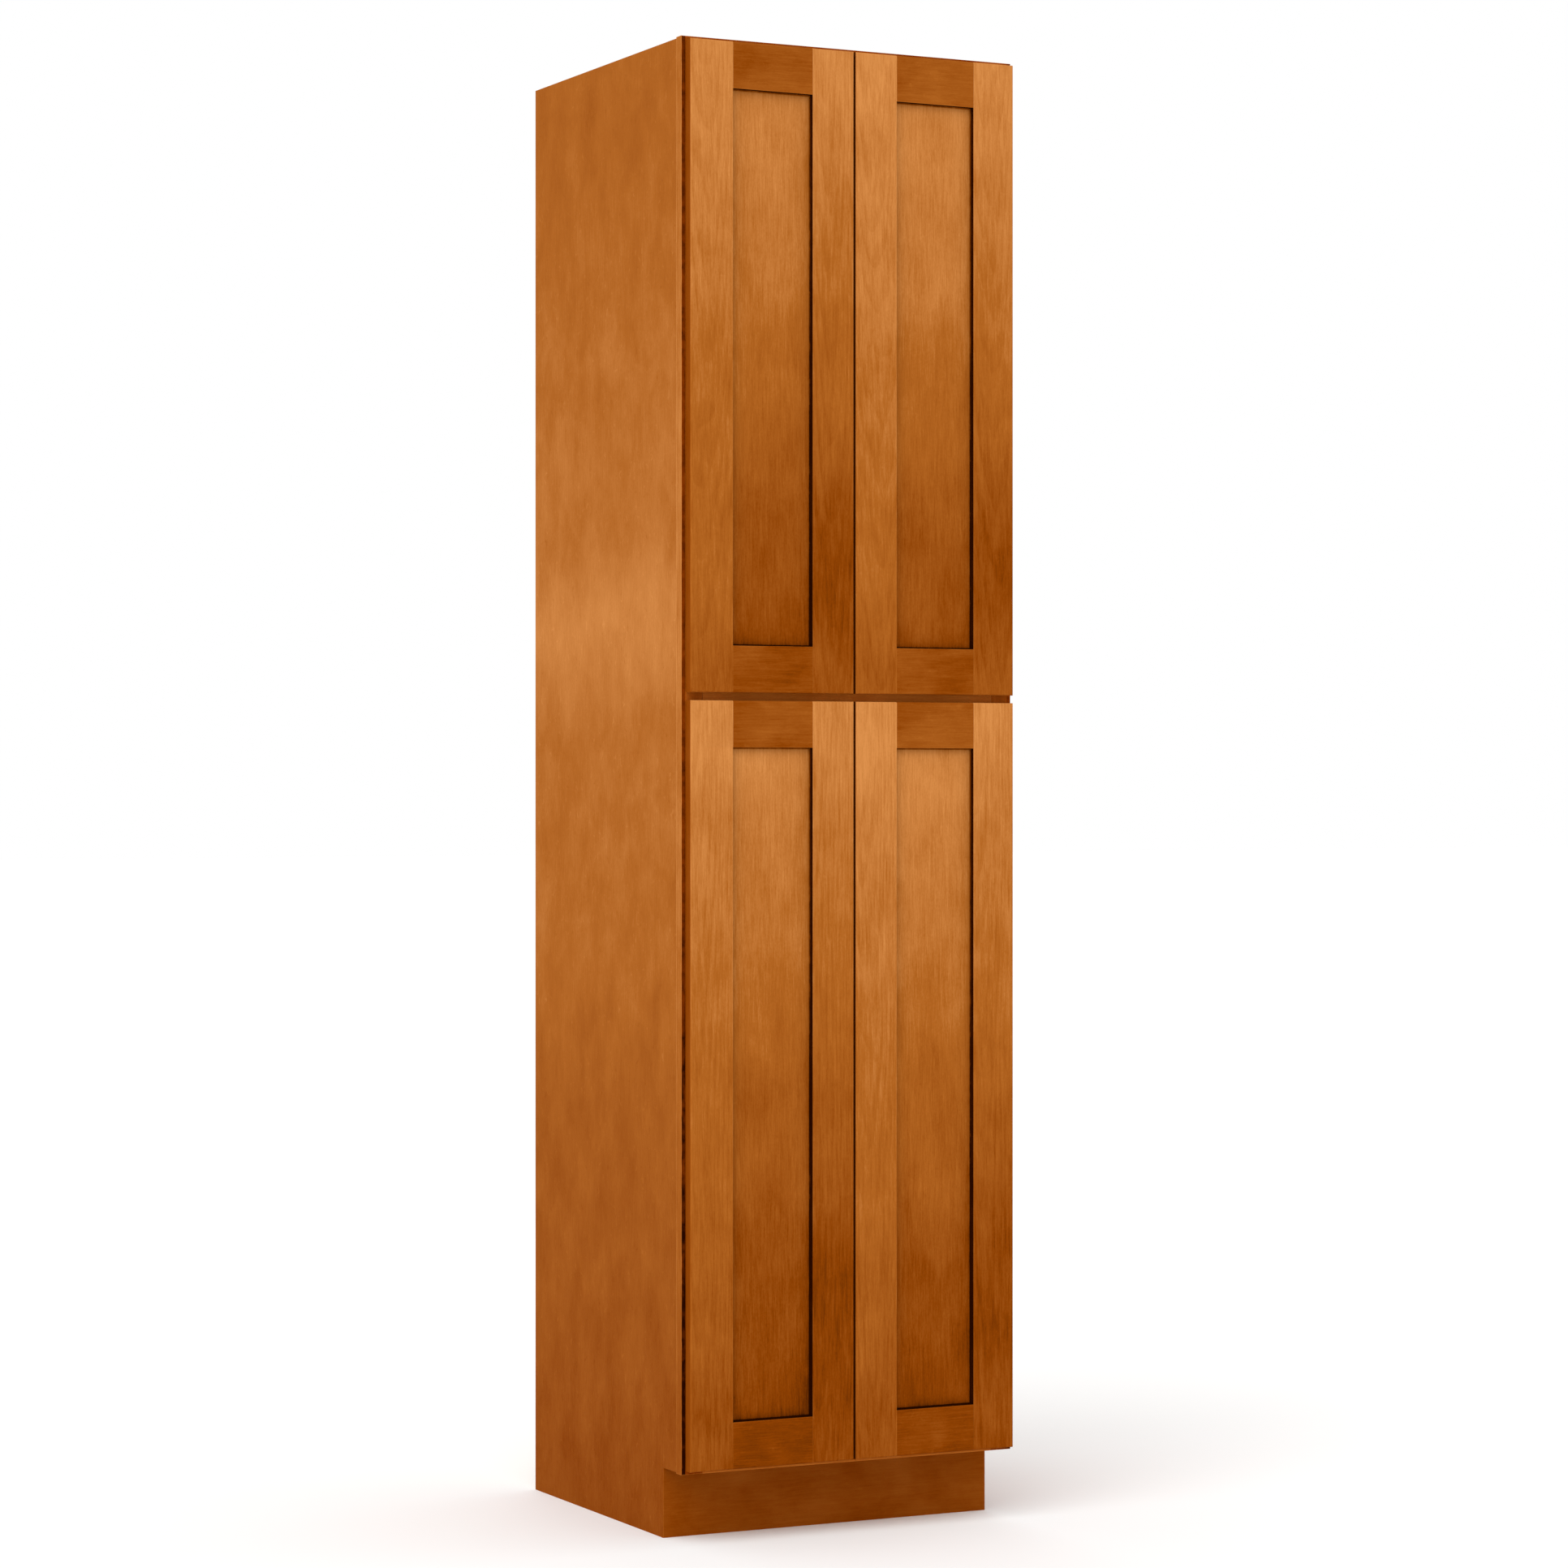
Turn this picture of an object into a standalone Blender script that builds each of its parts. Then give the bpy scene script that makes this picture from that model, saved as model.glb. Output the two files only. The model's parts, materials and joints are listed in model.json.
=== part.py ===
"""Tall pantry cabinet: a face-frame case with four full-overlay shaker doors.

The case stands on the floor at z = 0, its front faces -Y, and the origin is the
centre of the footprint. Each door turns on a vertical axis through its cup hinges.
"""

import math

import bmesh
import bpy
from mathutils import Vector

INCH = 0.0254
MM = 0.001

# Case
CABINET_WIDTH = 24 * INCH
CABINET_HEIGHT = 96 * INCH
CASE_DEPTH = 24 * INCH  # front of the face frame to the rear edge of the sides
SIDE_THICKNESS = 0.5 * INCH
TOP_THICKNESS = 0.5 * INCH
DECK_THICKNESS = 0.5 * INCH
FIXED_SHELF_THICKNESS = 0.75 * INCH
BACK_THICKNESS = 0.25 * INCH
BACK_RAIL_THICKNESS = 0.5 * INCH
HANGING_RAIL_HEIGHT = 3.5 * INCH
DADO_DEPTH = 0.25 * INCH
TOE_HEIGHT = 4.5 * INCH
TOE_RECESS = 3.125 * INCH  # front of the face frame to the toe skin
TOE_SKIN_THICKNESS = 0.25 * INCH
TOE_RAIL_THICKNESS = 0.5 * INCH

# Face frame
FRAME_THICKNESS = 0.75 * INCH
FRAME_STILE_WIDTH = 1.5 * INCH
FRAME_RAIL_WIDTH = 1.5 * INCH
FRAME_OVERHANG = 0.1875 * INCH  # the frame stands this far past each side
FRAME_EASE = 0.8 * MM

# Adjustable shelves and the rows of pin holes that carry them
SHELF_THICKNESS = 0.75 * INCH
SHELF_END_GAP = 1.5 * MM
SHELF_SETBACK = 6 * MM  # behind the face frame, and in front of the back
PIN_RADIUS = 2.5 * MM
PIN_REACH = 8 * MM
PIN_HOLE_DEPTH = 9 * MM
PIN_SPACING = 64 * MM
PIN_ROW_INSET = 60 * MM  # from the shelf's front and rear edges
HOLES_EACH_WAY = 4  # holes above and below the middle of a bay
SHELF_HOLE = 3  # each shelf sits this many holes from the middle

# Doors
DOOR_THICKNESS = 0.75 * INCH
DOOR_OVERLAY = 1.25 * INCH  # how far a door covers the frame's stile
TOP_REVEAL = 0.25 * INCH
BOTTOM_REVEAL = 0.25 * INCH
MEETING_GAP = 0.125 * INCH  # between a left and a right door
TIER_GAP = 0.5 * INCH  # between the lower and the upper doors
LOWER_DOOR_HEIGHT = 49 * INCH
DOOR_STILE_WIDTH = 3 * INCH
DOOR_RAIL_WIDTH = 3 * INCH
PANEL_THICKNESS = 0.25 * INCH
PANEL_RECESS = 0.375 * INCH
GROOVE_DEPTH = 0.375 * INCH
PANEL_PLAY = 1 * MM
DOOR_FRONT_RADIUS = 0.125 * INCH
DOOR_BACK_RADIUS = 1.5 * MM
STICKING_EASE = 0.8 * MM

# Cup hinges
HINGE_INSET = 4 * INCH  # hinge centre from the door's end
CUP_RADIUS = 17.2 * MM
CUP_WALL = 0.8 * MM
CUP_FLOOR = 0.8 * MM
FLANGE_RADIUS = 18 * MM
FLANGE_THICKNESS = 0.8 * MM
EAR_WIDTH = 11 * MM
EAR_REACH = 26 * MM
EDGE_WOOD = 2.8 * MM  # least wood between the cup's bore and the door's edge
PIVOT_FROM_CENTRE = 12.8 * MM
PIVOT_DEPTH = 10 * MM  # pivot in front of the door's back face
PIVOT_PIN_RADIUS = 1 * MM
PIVOT_CLEARANCE = 0.3 * MM
KNUCKLE_RADIUS = 2.1 * MM
ARM_THICKNESS = 1.7 * MM
ARM_WIDTH = 10 * MM
ARM_BEND_RADIUS = 2.5 * MM
PLATE_THICKNESS = 2.15 * MM
PLATE_HALF_HEIGHT = 20 * MM
PLATE_MARGIN = 1 * MM
CUP_CLEARANCE = 1.5 * MM  # between the arm and the cup's far wall
SWING_CLEARANCE = 0.6 * MM  # between the door's rear corner and the frame

# Fits and tool sizes
FIT = 0.3 * MM  # gap between pieces that touch
OVERSHOOT = 2 * MM  # how far a cutter runs past what it cuts
SEAT = 0.2 * MM  # how far a joined shape stands inside its neighbour's faces
SMALL_FACETS = 8
PIVOT_FACETS = 12
CUP_FACETS = 20

# Places worked out from the sizes above
BORE_RADIUS = CUP_RADIUS + FIT
CUP_INNER_RADIUS = CUP_RADIUS - CUP_WALL
ARM_FAR_FACE = DOOR_OVERLAY + FIT + PLATE_THICKNESS
CUP_HALF_SPAN = math.sqrt(CUP_INNER_RADIUS**2 - (ARM_WIDTH / 2) ** 2)
CUP_CENTRE = max(BORE_RADIUS + EDGE_WOOD, ARM_FAR_FACE + CUP_CLEARANCE - CUP_HALF_SPAN)
PIVOT_INSET = CUP_CENTRE - PIVOT_FROM_CENTRE
CORNER_SWING = DOOR_BACK_RADIUS + math.hypot(
    PIVOT_INSET - DOOR_BACK_RADIUS, PIVOT_DEPTH - DOOR_BACK_RADIUS
)
DOOR_STANDOFF = CORNER_SWING + SWING_CLEARANCE - PIVOT_DEPTH

TOTAL_DEPTH = CASE_DEPTH + DOOR_STANDOFF + DOOR_THICKNESS
DOOR_FRONT = -TOTAL_DEPTH / 2
DOOR_BACK = DOOR_FRONT + DOOR_THICKNESS
FRAME_FRONT = DOOR_BACK + DOOR_STANDOFF
FRAME_BACK = FRAME_FRONT + FRAME_THICKNESS
CASE_BACK = TOTAL_DEPTH / 2
PIVOT_Y = DOOR_BACK - PIVOT_DEPTH
BACK_REAR = CASE_BACK - BACK_RAIL_THICKNESS - FIT
BACK_FRONT = BACK_REAR - BACK_THICKNESS
TOE_FRONT = FRAME_FRONT + TOE_RECESS
TOE_BACK = TOE_FRONT + TOE_SKIN_THICKNESS

HALF_WIDTH = CABINET_WIDTH / 2
SIDE_OUTER = HALF_WIDTH - FRAME_OVERHANG
SIDE_INNER = SIDE_OUTER - SIDE_THICKNESS
FRAME_OPENING_HALF = HALF_WIDTH - FRAME_STILE_WIDTH
DADO_REACH = SIDE_INNER + DADO_DEPTH - FIT

DECK_TOP = TOE_HEIGHT + FRAME_RAIL_WIDTH
DECK_UNDERSIDE = DECK_TOP - DECK_THICKNESS
LOWER_DOOR_BOTTOM = TOE_HEIGHT + BOTTOM_REVEAL
LOWER_DOOR_TOP = LOWER_DOOR_BOTTOM + LOWER_DOOR_HEIGHT
UPPER_DOOR_BOTTOM = LOWER_DOOR_TOP + TIER_GAP
UPPER_DOOR_TOP = CABINET_HEIGHT - TOP_REVEAL
MID_RAIL_MIDDLE = LOWER_DOOR_TOP + TIER_GAP / 2
MID_RAIL_TOP = MID_RAIL_MIDDLE + FRAME_RAIL_WIDTH / 2
FIXED_SHELF_UNDERSIDE = MID_RAIL_TOP - FIXED_SHELF_THICKNESS
TOP_UNDERSIDE = CABINET_HEIGHT - TOP_THICKNESS

DOOR_OUTER = FRAME_OPENING_HALF + DOOR_OVERLAY
DOOR_WIDTH = DOOR_OUTER - MEETING_GAP / 2
PANEL_FRONT = DOOR_FRONT + PANEL_RECESS
PANEL_BACK = PANEL_FRONT + PANEL_THICKNESS

SHELF_FRONT = FRAME_BACK + SHELF_SETBACK
SHELF_REAR = BACK_FRONT - SHELF_SETBACK
PIN_ROWS = (SHELF_FRONT + PIN_ROW_INSET, SHELF_REAR - PIN_ROW_INSET)
BAYS = {
    "lower": (DECK_TOP, FIXED_SHELF_UNDERSIDE),
    "upper": (MID_RAIL_TOP, TOP_UNDERSIDE),
}
SIDES = {"left": -1, "right": 1}
TIERS = {
    "lower": (LOWER_DOOR_BOTTOM, LOWER_DOOR_TOP, 3),
    "upper": (UPPER_DOOR_BOTTOM, UPPER_DOOR_TOP, 2),
}

# Finishes: colour, roughness, metallic
STAINED_MAPLE = ((0.40, 0.125, 0.025), 0.36, 0.0)
NATURAL_MAPLE = ((0.66, 0.47, 0.27), 0.45, 0.0)
PLATED_STEEL = ((0.62, 0.61, 0.59), 0.28, 1.0)


def clear_scene():
    for obj in list(bpy.data.objects):
        bpy.data.objects.remove(obj)


def new_collection(name):
    collection = bpy.data.collections.new(name)
    bpy.context.scene.collection.children.link(collection)
    return collection


def give_material(obj, finish):
    colour, roughness, metallic = finish
    material = bpy.data.materials.new(obj.name + "_finish")
    material.use_nodes = True
    shader = material.node_tree.nodes["Principled BSDF"]
    shader.inputs["Base Color"].default_value = (*colour, 1)
    shader.inputs["Roughness"].default_value = roughness
    shader.inputs["Metallic"].default_value = metallic
    obj.data.materials.append(material)


def put(obj, collection, finish=None, parent=None):
    """Links the object, gives it its finish, and hangs it on its parent where it stands."""
    collection.objects.link(obj)
    if finish:
        give_material(obj, finish)
    if parent:
        obj.parent = parent
        obj.location = obj.location - parent.location
    return obj


def as_tool(obj):
    """Marks a shape that only cuts or joins another."""
    tools.objects.link(obj)
    obj.hide_render = True
    obj.display_type = "WIRE"
    return obj


def box(name, x, y, z):
    """A box between two values on each axis, with its origin at its centre."""
    low = Vector((min(x), min(y), min(z)))
    high = Vector((max(x), max(y), max(z)))
    bm = bmesh.new()
    bmesh.ops.create_cube(bm, size=1)
    bmesh.ops.scale(bm, vec=high - low, verts=bm.verts)
    mesh = bpy.data.meshes.new(name)
    bm.to_mesh(mesh)
    bm.free()
    obj = bpy.data.objects.new(name, mesh)
    obj.location = (low + high) / 2
    return obj


def rods(name, centres, radius, reach, facets, turn):
    """Round rods of one size about each centre, along Z before each is turned."""
    bm = bmesh.new()
    for centre in centres:
        made = bmesh.ops.create_cone(
            bm, cap_ends=True, segments=facets, radius1=radius, radius2=radius, depth=reach
        )["verts"]
        bmesh.ops.rotate(bm, verts=made, matrix=turn)
        bmesh.ops.translate(bm, verts=made, vec=centre)
    mesh = bpy.data.meshes.new(name)
    bm.to_mesh(mesh)
    bm.free()
    return bpy.data.objects.new(name, mesh)


def boolean(obj, other, operation):
    modifier = obj.modifiers.new(other.name, "BOOLEAN")
    modifier.operation = operation
    modifier.solver = "EXACT"
    modifier.object = other


def cut(obj, tool):
    boolean(obj, as_tool(tool), "DIFFERENCE")


def join(obj, tool):
    boolean(obj, as_tool(tool), "UNION")


def round_edges(obj, pairs, radius, segments):
    """Rounds a box's edges. Each pair names the two faces that meet there, such as ("-y", "+x")."""
    bm = bmesh.new()
    bm.from_mesh(obj.data)
    reach = [max(vert.co[i] for vert in bm.verts) for i in range(3)]

    def lies_on(edge, face):
        axis = "xyz".index(face[1])
        level = reach[axis] * (1 if face[0] == "+" else -1)
        return all(abs(vert.co[axis] - level) < 1e-6 for vert in edge.verts)

    chosen = [e for e in bm.edges if any(lies_on(e, a) and lies_on(e, b) for a, b in pairs)]
    bmesh.ops.bevel(
        bm,
        geom=chosen,
        offset=radius,
        offset_type="OFFSET",
        segments=segments,
        profile=0.5,
        affect="EDGES",
        clamp_overlap=True,
    )
    bm.to_mesh(obj.data)
    bm.free()


def across(x):
    """The same distance either side of the middle."""
    return (-x, x)


# Case ------------------------------------------------------------------------


def side_panel(word, side):
    """A side, notched for the toe space, grooved for what it holds, with its shelf pins."""
    name = word + "_side_panel"
    inner, outer = side * SIDE_INNER, side * SIDE_OUTER
    panel = box(name, (inner, outer), (FRAME_BACK + FIT, CASE_BACK), (0, CABINET_HEIGHT))
    put(panel, cabinet, STAINED_MAPLE)
    past_outer, past_inner = outer + side * OVERSHOOT, inner - side * OVERSHOOT
    notch = (FRAME_BACK - OVERSHOOT, TOE_BACK + FIT)
    cut(panel, box(name + "_toe_notch", (past_inner, past_outer), notch, (-OVERSHOOT, TOE_HEIGHT)))
    dado = (past_inner, inner + side * DADO_DEPTH)
    through = (FRAME_BACK - OVERSHOOT, BACK_REAR + FIT)
    for held, low, high in (
        ("deck", DECK_UNDERSIDE - FIT, DECK_TOP + FIT),
        ("shelf", FIXED_SHELF_UNDERSIDE - FIT, MID_RAIL_TOP + FIT),
        ("top", TOP_UNDERSIDE - FIT, CABINET_HEIGHT + OVERSHOOT),
    ):
        cut(panel, box(name + "_" + held + "_dado", dado, through, (low, high)))
    groove = (BACK_FRONT - FIT, BACK_REAR + FIT)
    full_height = (-OVERSHOOT, CABINET_HEIGHT + OVERSHOOT)
    cut(panel, box(name + "_back_groove", dado, groove, full_height))
    holes, pins = [], []
    for low, high in BAYS.values():
        for step in range(-HOLES_EACH_WAY, HOLES_EACH_WAY + 1):
            z = (low + high) / 2 + step * PIN_SPACING
            places = [Vector((inner, y, z)) for y in PIN_ROWS]
            (pins if abs(step) == SHELF_HOLE else holes).extend(places)
    on_side = Vector((0, 0, 1)).rotation_difference(Vector((1, 0, 0))).to_matrix()
    cut(panel, rods(name + "_holes", holes, PIN_RADIUS, 2 * PIN_HOLE_DEPTH, SMALL_FACETS, on_side))
    join(panel, rods(name + "_pins", pins, PIN_RADIUS, 2 * PIN_REACH, SMALL_FACETS, on_side))


def case():
    for word, side in SIDES.items():
        side_panel(word, side)
    inside = (FRAME_BACK + FIT, BACK_FRONT - FIT)
    for name, low, high in (
        ("bottom_deck", DECK_UNDERSIDE, DECK_TOP),
        ("fixed_shelf", FIXED_SHELF_UNDERSIDE, MID_RAIL_TOP),
        ("top_panel", TOP_UNDERSIDE, CABINET_HEIGHT),
    ):
        put(box(name, across(DADO_REACH), inside, (low, high)), cabinet, NATURAL_MAPLE)
    between = across(SIDE_INNER - FIT)
    behind = (CASE_BACK - BACK_RAIL_THICKNESS, CASE_BACK)
    under_deck = (0, DECK_UNDERSIDE - FIT)
    toe_rail = (TOE_BACK + FIT, TOE_BACK + FIT + TOE_RAIL_THICKNESS)
    hanging = (CABINET_HEIGHT - HANGING_RAIL_HEIGHT, CABINET_HEIGHT)
    for name, x, y, z, finish in (
        ("back_panel", across(DADO_REACH), (BACK_FRONT, BACK_REAR),
         (DECK_UNDERSIDE, CABINET_HEIGHT), NATURAL_MAPLE),
        ("upper_hanging_rail", between, behind, hanging, NATURAL_MAPLE),
        ("rear_base_rail", between, behind, under_deck, NATURAL_MAPLE),
        ("toe_kick_rail", between, toe_rail, under_deck, NATURAL_MAPLE),
        ("toe_kick_skin", across(SIDE_OUTER), (TOE_FRONT, TOE_BACK),
         (0, TOE_HEIGHT - FIT), STAINED_MAPLE),
    ):
        put(box(name, x, y, z), cabinet, finish)


def face_frame():
    depth = (FRAME_FRONT, FRAME_BACK)
    for word, side in SIDES.items():
        x = (side * FRAME_OPENING_HALF, side * HALF_WIDTH)
        stile = box("face_frame_" + word + "_stile", x, depth, (TOE_HEIGHT, CABINET_HEIGHT))
        round_edges(stile, (("-y", "-x"), ("-y", "+x")), FRAME_EASE, 1)
        put(stile, cabinet, STAINED_MAPLE)
    between = across(FRAME_OPENING_HALF - FIT)
    for word, top in (("top", CABINET_HEIGHT), ("mid", MID_RAIL_TOP), ("bottom", DECK_TOP)):
        z = (top - FRAME_RAIL_WIDTH, top)
        rail = box("face_frame_" + word + "_rail", between, depth, z)
        round_edges(rail, (("-y", "-z"), ("-y", "+z")), FRAME_EASE, 1)
        put(rail, cabinet, STAINED_MAPLE)


def adjustable_shelves():
    x = across(SIDE_INNER - SHELF_END_GAP)
    for bay, (low, high) in BAYS.items():
        for word, step in (("low", -SHELF_HOLE), ("high", SHELF_HOLE)):
            seat = (low + high) / 2 + step * PIN_SPACING + PIN_RADIUS + FIT
            z = (seat, seat + SHELF_THICKNESS)
            shelf = box(bay + "_bay_" + word + "_shelf", x, (SHELF_FRONT, SHELF_REAR), z)
            round_edges(shelf, (("-y", "-z"), ("-y", "+z")), FRAME_EASE, 1)
            put(shelf, cabinet, NATURAL_MAPLE)


# Doors -----------------------------------------------------------------------


def from_edge(side, near, far):
    """The x values that lie so far in from a door's hinged edge."""
    return (side * (DOOR_OUTER - near), side * (DOOR_OUTER - far))


def hinge_heights(low, high, count):
    first, last = low + HINGE_INSET, high - HINGE_INSET
    return [first + (last - first) * i / (count - 1) for i in range(count)]


def door_stile(name, side, near, low, high, outer_face, axis):
    """A door's upright, grooved down its inner edge. near is its distance from the hinged edge."""
    x = from_edge(side, near, near + DOOR_STILE_WIDTH)
    stile = box(name, x, (DOOR_FRONT, DOOR_BACK), (low, high))
    inner_face = ("-" if outer_face[0] == "+" else "+") + "x"
    rim = (outer_face, "-z", "+z")
    round_edges(stile, [("-y", face) for face in rim], DOOR_FRONT_RADIUS, 3)
    round_edges(stile, [("+y", face) for face in rim], DOOR_BACK_RADIUS, 2)
    round_edges(stile, [("-y", inner_face)], STICKING_EASE, 1)
    put(stile, cabinet, STAINED_MAPLE, axis)
    inward = 1 if inner_face[0] == "+" else -1
    inner = max(x) if inward > 0 else min(x)
    groove = (inner - inward * GROOVE_DEPTH, inner + inward * OVERSHOOT)
    width = (PANEL_FRONT - FIT, PANEL_BACK + FIT)
    length = (low - OVERSHOOT, high + OVERSHOOT)
    cut(stile, box(name + "_groove", groove, width, length))
    return stile


def door_rail(name, side, outer, inner, axis):
    """A door's cross piece with its stub tenons, grooved along its inner edge."""
    body = from_edge(side, DOOR_STILE_WIDTH + FIT, DOOR_WIDTH - DOOR_STILE_WIDTH - FIT)
    rail = box(name, body, (DOOR_FRONT, DOOR_BACK), (outer, inner))
    upward = 1 if inner > outer else -1
    outer_face, inner_face = ("-z", "+z") if upward > 0 else ("+z", "-z")
    round_edges(rail, [("-y", outer_face)], DOOR_FRONT_RADIUS, 3)
    round_edges(rail, [("+y", outer_face)], DOOR_BACK_RADIUS, 2)
    round_edges(rail, [("-y", inner_face)], STICKING_EASE, 1)
    put(rail, cabinet, STAINED_MAPLE, axis)
    tongue = GROOVE_DEPTH - PANEL_PLAY
    tenon_x = from_edge(side, DOOR_STILE_WIDTH - tongue, DOOR_WIDTH - DOOR_STILE_WIDTH + tongue)
    tenon_z = (outer + upward * OVERSHOOT, inner - upward * (GROOVE_DEPTH + OVERSHOOT))
    join(rail, box(name + "_tenons", tenon_x, (PANEL_FRONT, PANEL_BACK), tenon_z))
    groove_z = (inner - upward * GROOVE_DEPTH, inner + upward * OVERSHOOT)
    groove_x = from_edge(side, 0, DOOR_WIDTH)
    width = (PANEL_FRONT - FIT, PANEL_BACK + FIT)
    cut(rail, box(name + "_groove", groove_x, width, groove_z))


def hinge_cup(name, side, z, axis):
    """A turned cup with a screw ear above and below, and the pivot pin across its mouth."""
    floor = -(PIVOT_DEPTH + KNUCKLE_RADIUS + PIVOT_CLEARANCE)
    rim = FIT + FLANGE_THICKNESS
    profile = [
        (0, floor),
        (CUP_INNER_RADIUS, floor),
        (CUP_INNER_RADIUS, rim),
        (FLANGE_RADIUS, rim),
        (FLANGE_RADIUS, FIT),
        (CUP_RADIUS, FIT),
        (CUP_RADIUS, floor - CUP_FLOOR),
        (0, floor - CUP_FLOOR),
    ]
    mesh = bpy.data.meshes.new(name)
    links = [(i, i + 1) for i in range(len(profile) - 1)]
    mesh.from_pydata([(radius, 0, height) for radius, height in profile], links, [])
    cup = bpy.data.objects.new(name, mesh)
    cup.location = (side * (DOOR_OUTER - CUP_CENTRE), DOOR_BACK, z)
    cup.rotation_euler = (-math.pi / 2, 0, 0)
    screw = cup.modifiers.new("turn", "SCREW")
    screw.axis = "Z"
    screw.steps = screw.render_steps = CUP_FACETS
    screw.use_merge_vertices = True
    screw.merge_threshold = 0.01 * MM
    put(cup, cabinet, PLATED_STEEL, axis)
    centre = DOOR_OUTER - CUP_CENTRE
    ear_x = (side * (centre - EAR_WIDTH / 2), side * (centre + EAR_WIDTH / 2))
    ear_y = (DOOR_BACK + FIT + SEAT / 2, DOOR_BACK + rim - SEAT / 2)
    for word, up in (("low", -1), ("high", 1)):
        ear_z = (z + up * (CUP_RADIUS - SEAT), z + up * EAR_REACH)
        join(cup, box(name + "_" + word + "_ear", ear_x, ear_y, ear_z))
    farthest = PIVOT_FROM_CENTRE + PIVOT_PIN_RADIUS
    reach = 2 * math.sqrt(CUP_RADIUS**2 - farthest**2) - SEAT
    pivot = Vector((side * (DOOR_OUTER - PIVOT_INSET), PIVOT_Y, z))
    unturned = Vector((0, 0, 1)).rotation_difference(Vector((0, 0, 1))).to_matrix()
    join(cup, rods(name + "_pin", [pivot], PIVOT_PIN_RADIUS, reach, PIVOT_FACETS, unturned))


def arc(centre, radius, start, end, steps):
    """Points round an arc, by degrees."""
    angles = [math.radians(start + (end - start) * i / steps) for i in range(steps + 1)]
    return [(centre[0] + radius * math.cos(a), centre[1] + radius * math.sin(a)) for a in angles]


def flat_outline(name, outlines, half_thickness):
    """A mesh of a flat shape and its holes, from closed outlines."""
    curve = bpy.data.curves.new(name, "CURVE")
    curve.dimensions = "2D"
    curve.fill_mode = "BOTH"
    curve.extrude = half_thickness
    for outline in outlines:
        spline = curve.splines.new("POLY")
        spline.points.add(len(outline) - 1)
        for point, (x, y) in zip(spline.points, outline):
            point.co = (x, y, 0, 1)
        spline.use_cyclic_u = True
    drawn = bpy.data.objects.new(name + "_outline", curve)
    bpy.context.scene.collection.objects.link(drawn)
    bpy.context.view_layer.update()
    evaluated = drawn.evaluated_get(bpy.context.evaluated_depsgraph_get())
    mesh = bpy.data.meshes.new_from_object(evaluated)
    bpy.data.objects.remove(drawn)
    mesh.name = name
    bm = bmesh.new()
    bm.from_mesh(mesh)
    bmesh.ops.remove_doubles(bm, verts=bm.verts, dist=0.01 * MM)
    bmesh.ops.recalc_face_normals(bm, faces=bm.faces)
    bm.to_mesh(mesh)
    bm.free()
    return bpy.data.objects.new(name, mesh)


def hinge_arm(name, side, z):
    """The arm: an eye on the pivot, a strap along the cup's floor and a leg past the stile."""
    plate = DOOR_OVERLAY + FIT - PIVOT_INSET
    near, far = plate + SEAT, plate + SEAT + ARM_THICKNESS
    floor, strap = -KNUCKLE_RADIUS, ARM_THICKNESS - KNUCKLE_RADIUS
    frame = PIVOT_DEPTH + DOOR_STANDOFF
    plate_ends = (frame + PLATE_MARGIN, frame + FRAME_THICKNESS - PLATE_MARGIN)
    end = plate_ends[1] - SEAT
    bend = ARM_BEND_RADIUS
    inner_bend = bend - ARM_THICKNESS
    meet = math.degrees(math.asin(strap / KNUCKLE_RADIUS))
    outline = (
        [(0, floor)]
        + arc((far - bend, floor + bend), bend, -90, 0, 3)
        + [(far, end), (near, end)]
        + arc((near - inner_bend, strap + inner_bend), inner_bend, 0, -90, 2)
        + arc((0, 0), KNUCKLE_RADIUS, meet, 240, 8)
    )
    bore = arc((0, 0), PIVOT_PIN_RADIUS + PIVOT_CLEARANCE, 0, 360 - 360 / PIVOT_FACETS, PIVOT_FACETS - 1)
    mirrored = [[(-side * u, v) for u, v in points] for points in (outline, bore)]
    arm = flat_outline(name, mirrored, ARM_WIDTH / 2)
    arm.location = (side * (DOOR_OUTER - PIVOT_INSET), PIVOT_Y, z)
    put(arm, cabinet, PLATED_STEEL)
    stile_edge = FRAME_OPENING_HALF - FIT
    plate_x = (side * stile_edge, side * (stile_edge - PLATE_THICKNESS))
    plate_y = [PIVOT_Y + v for v in plate_ends]
    join(arm, box(name + "_plate", plate_x, plate_y, (z - PLATE_HALF_HEIGHT, z + PLATE_HALF_HEIGHT)))


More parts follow.
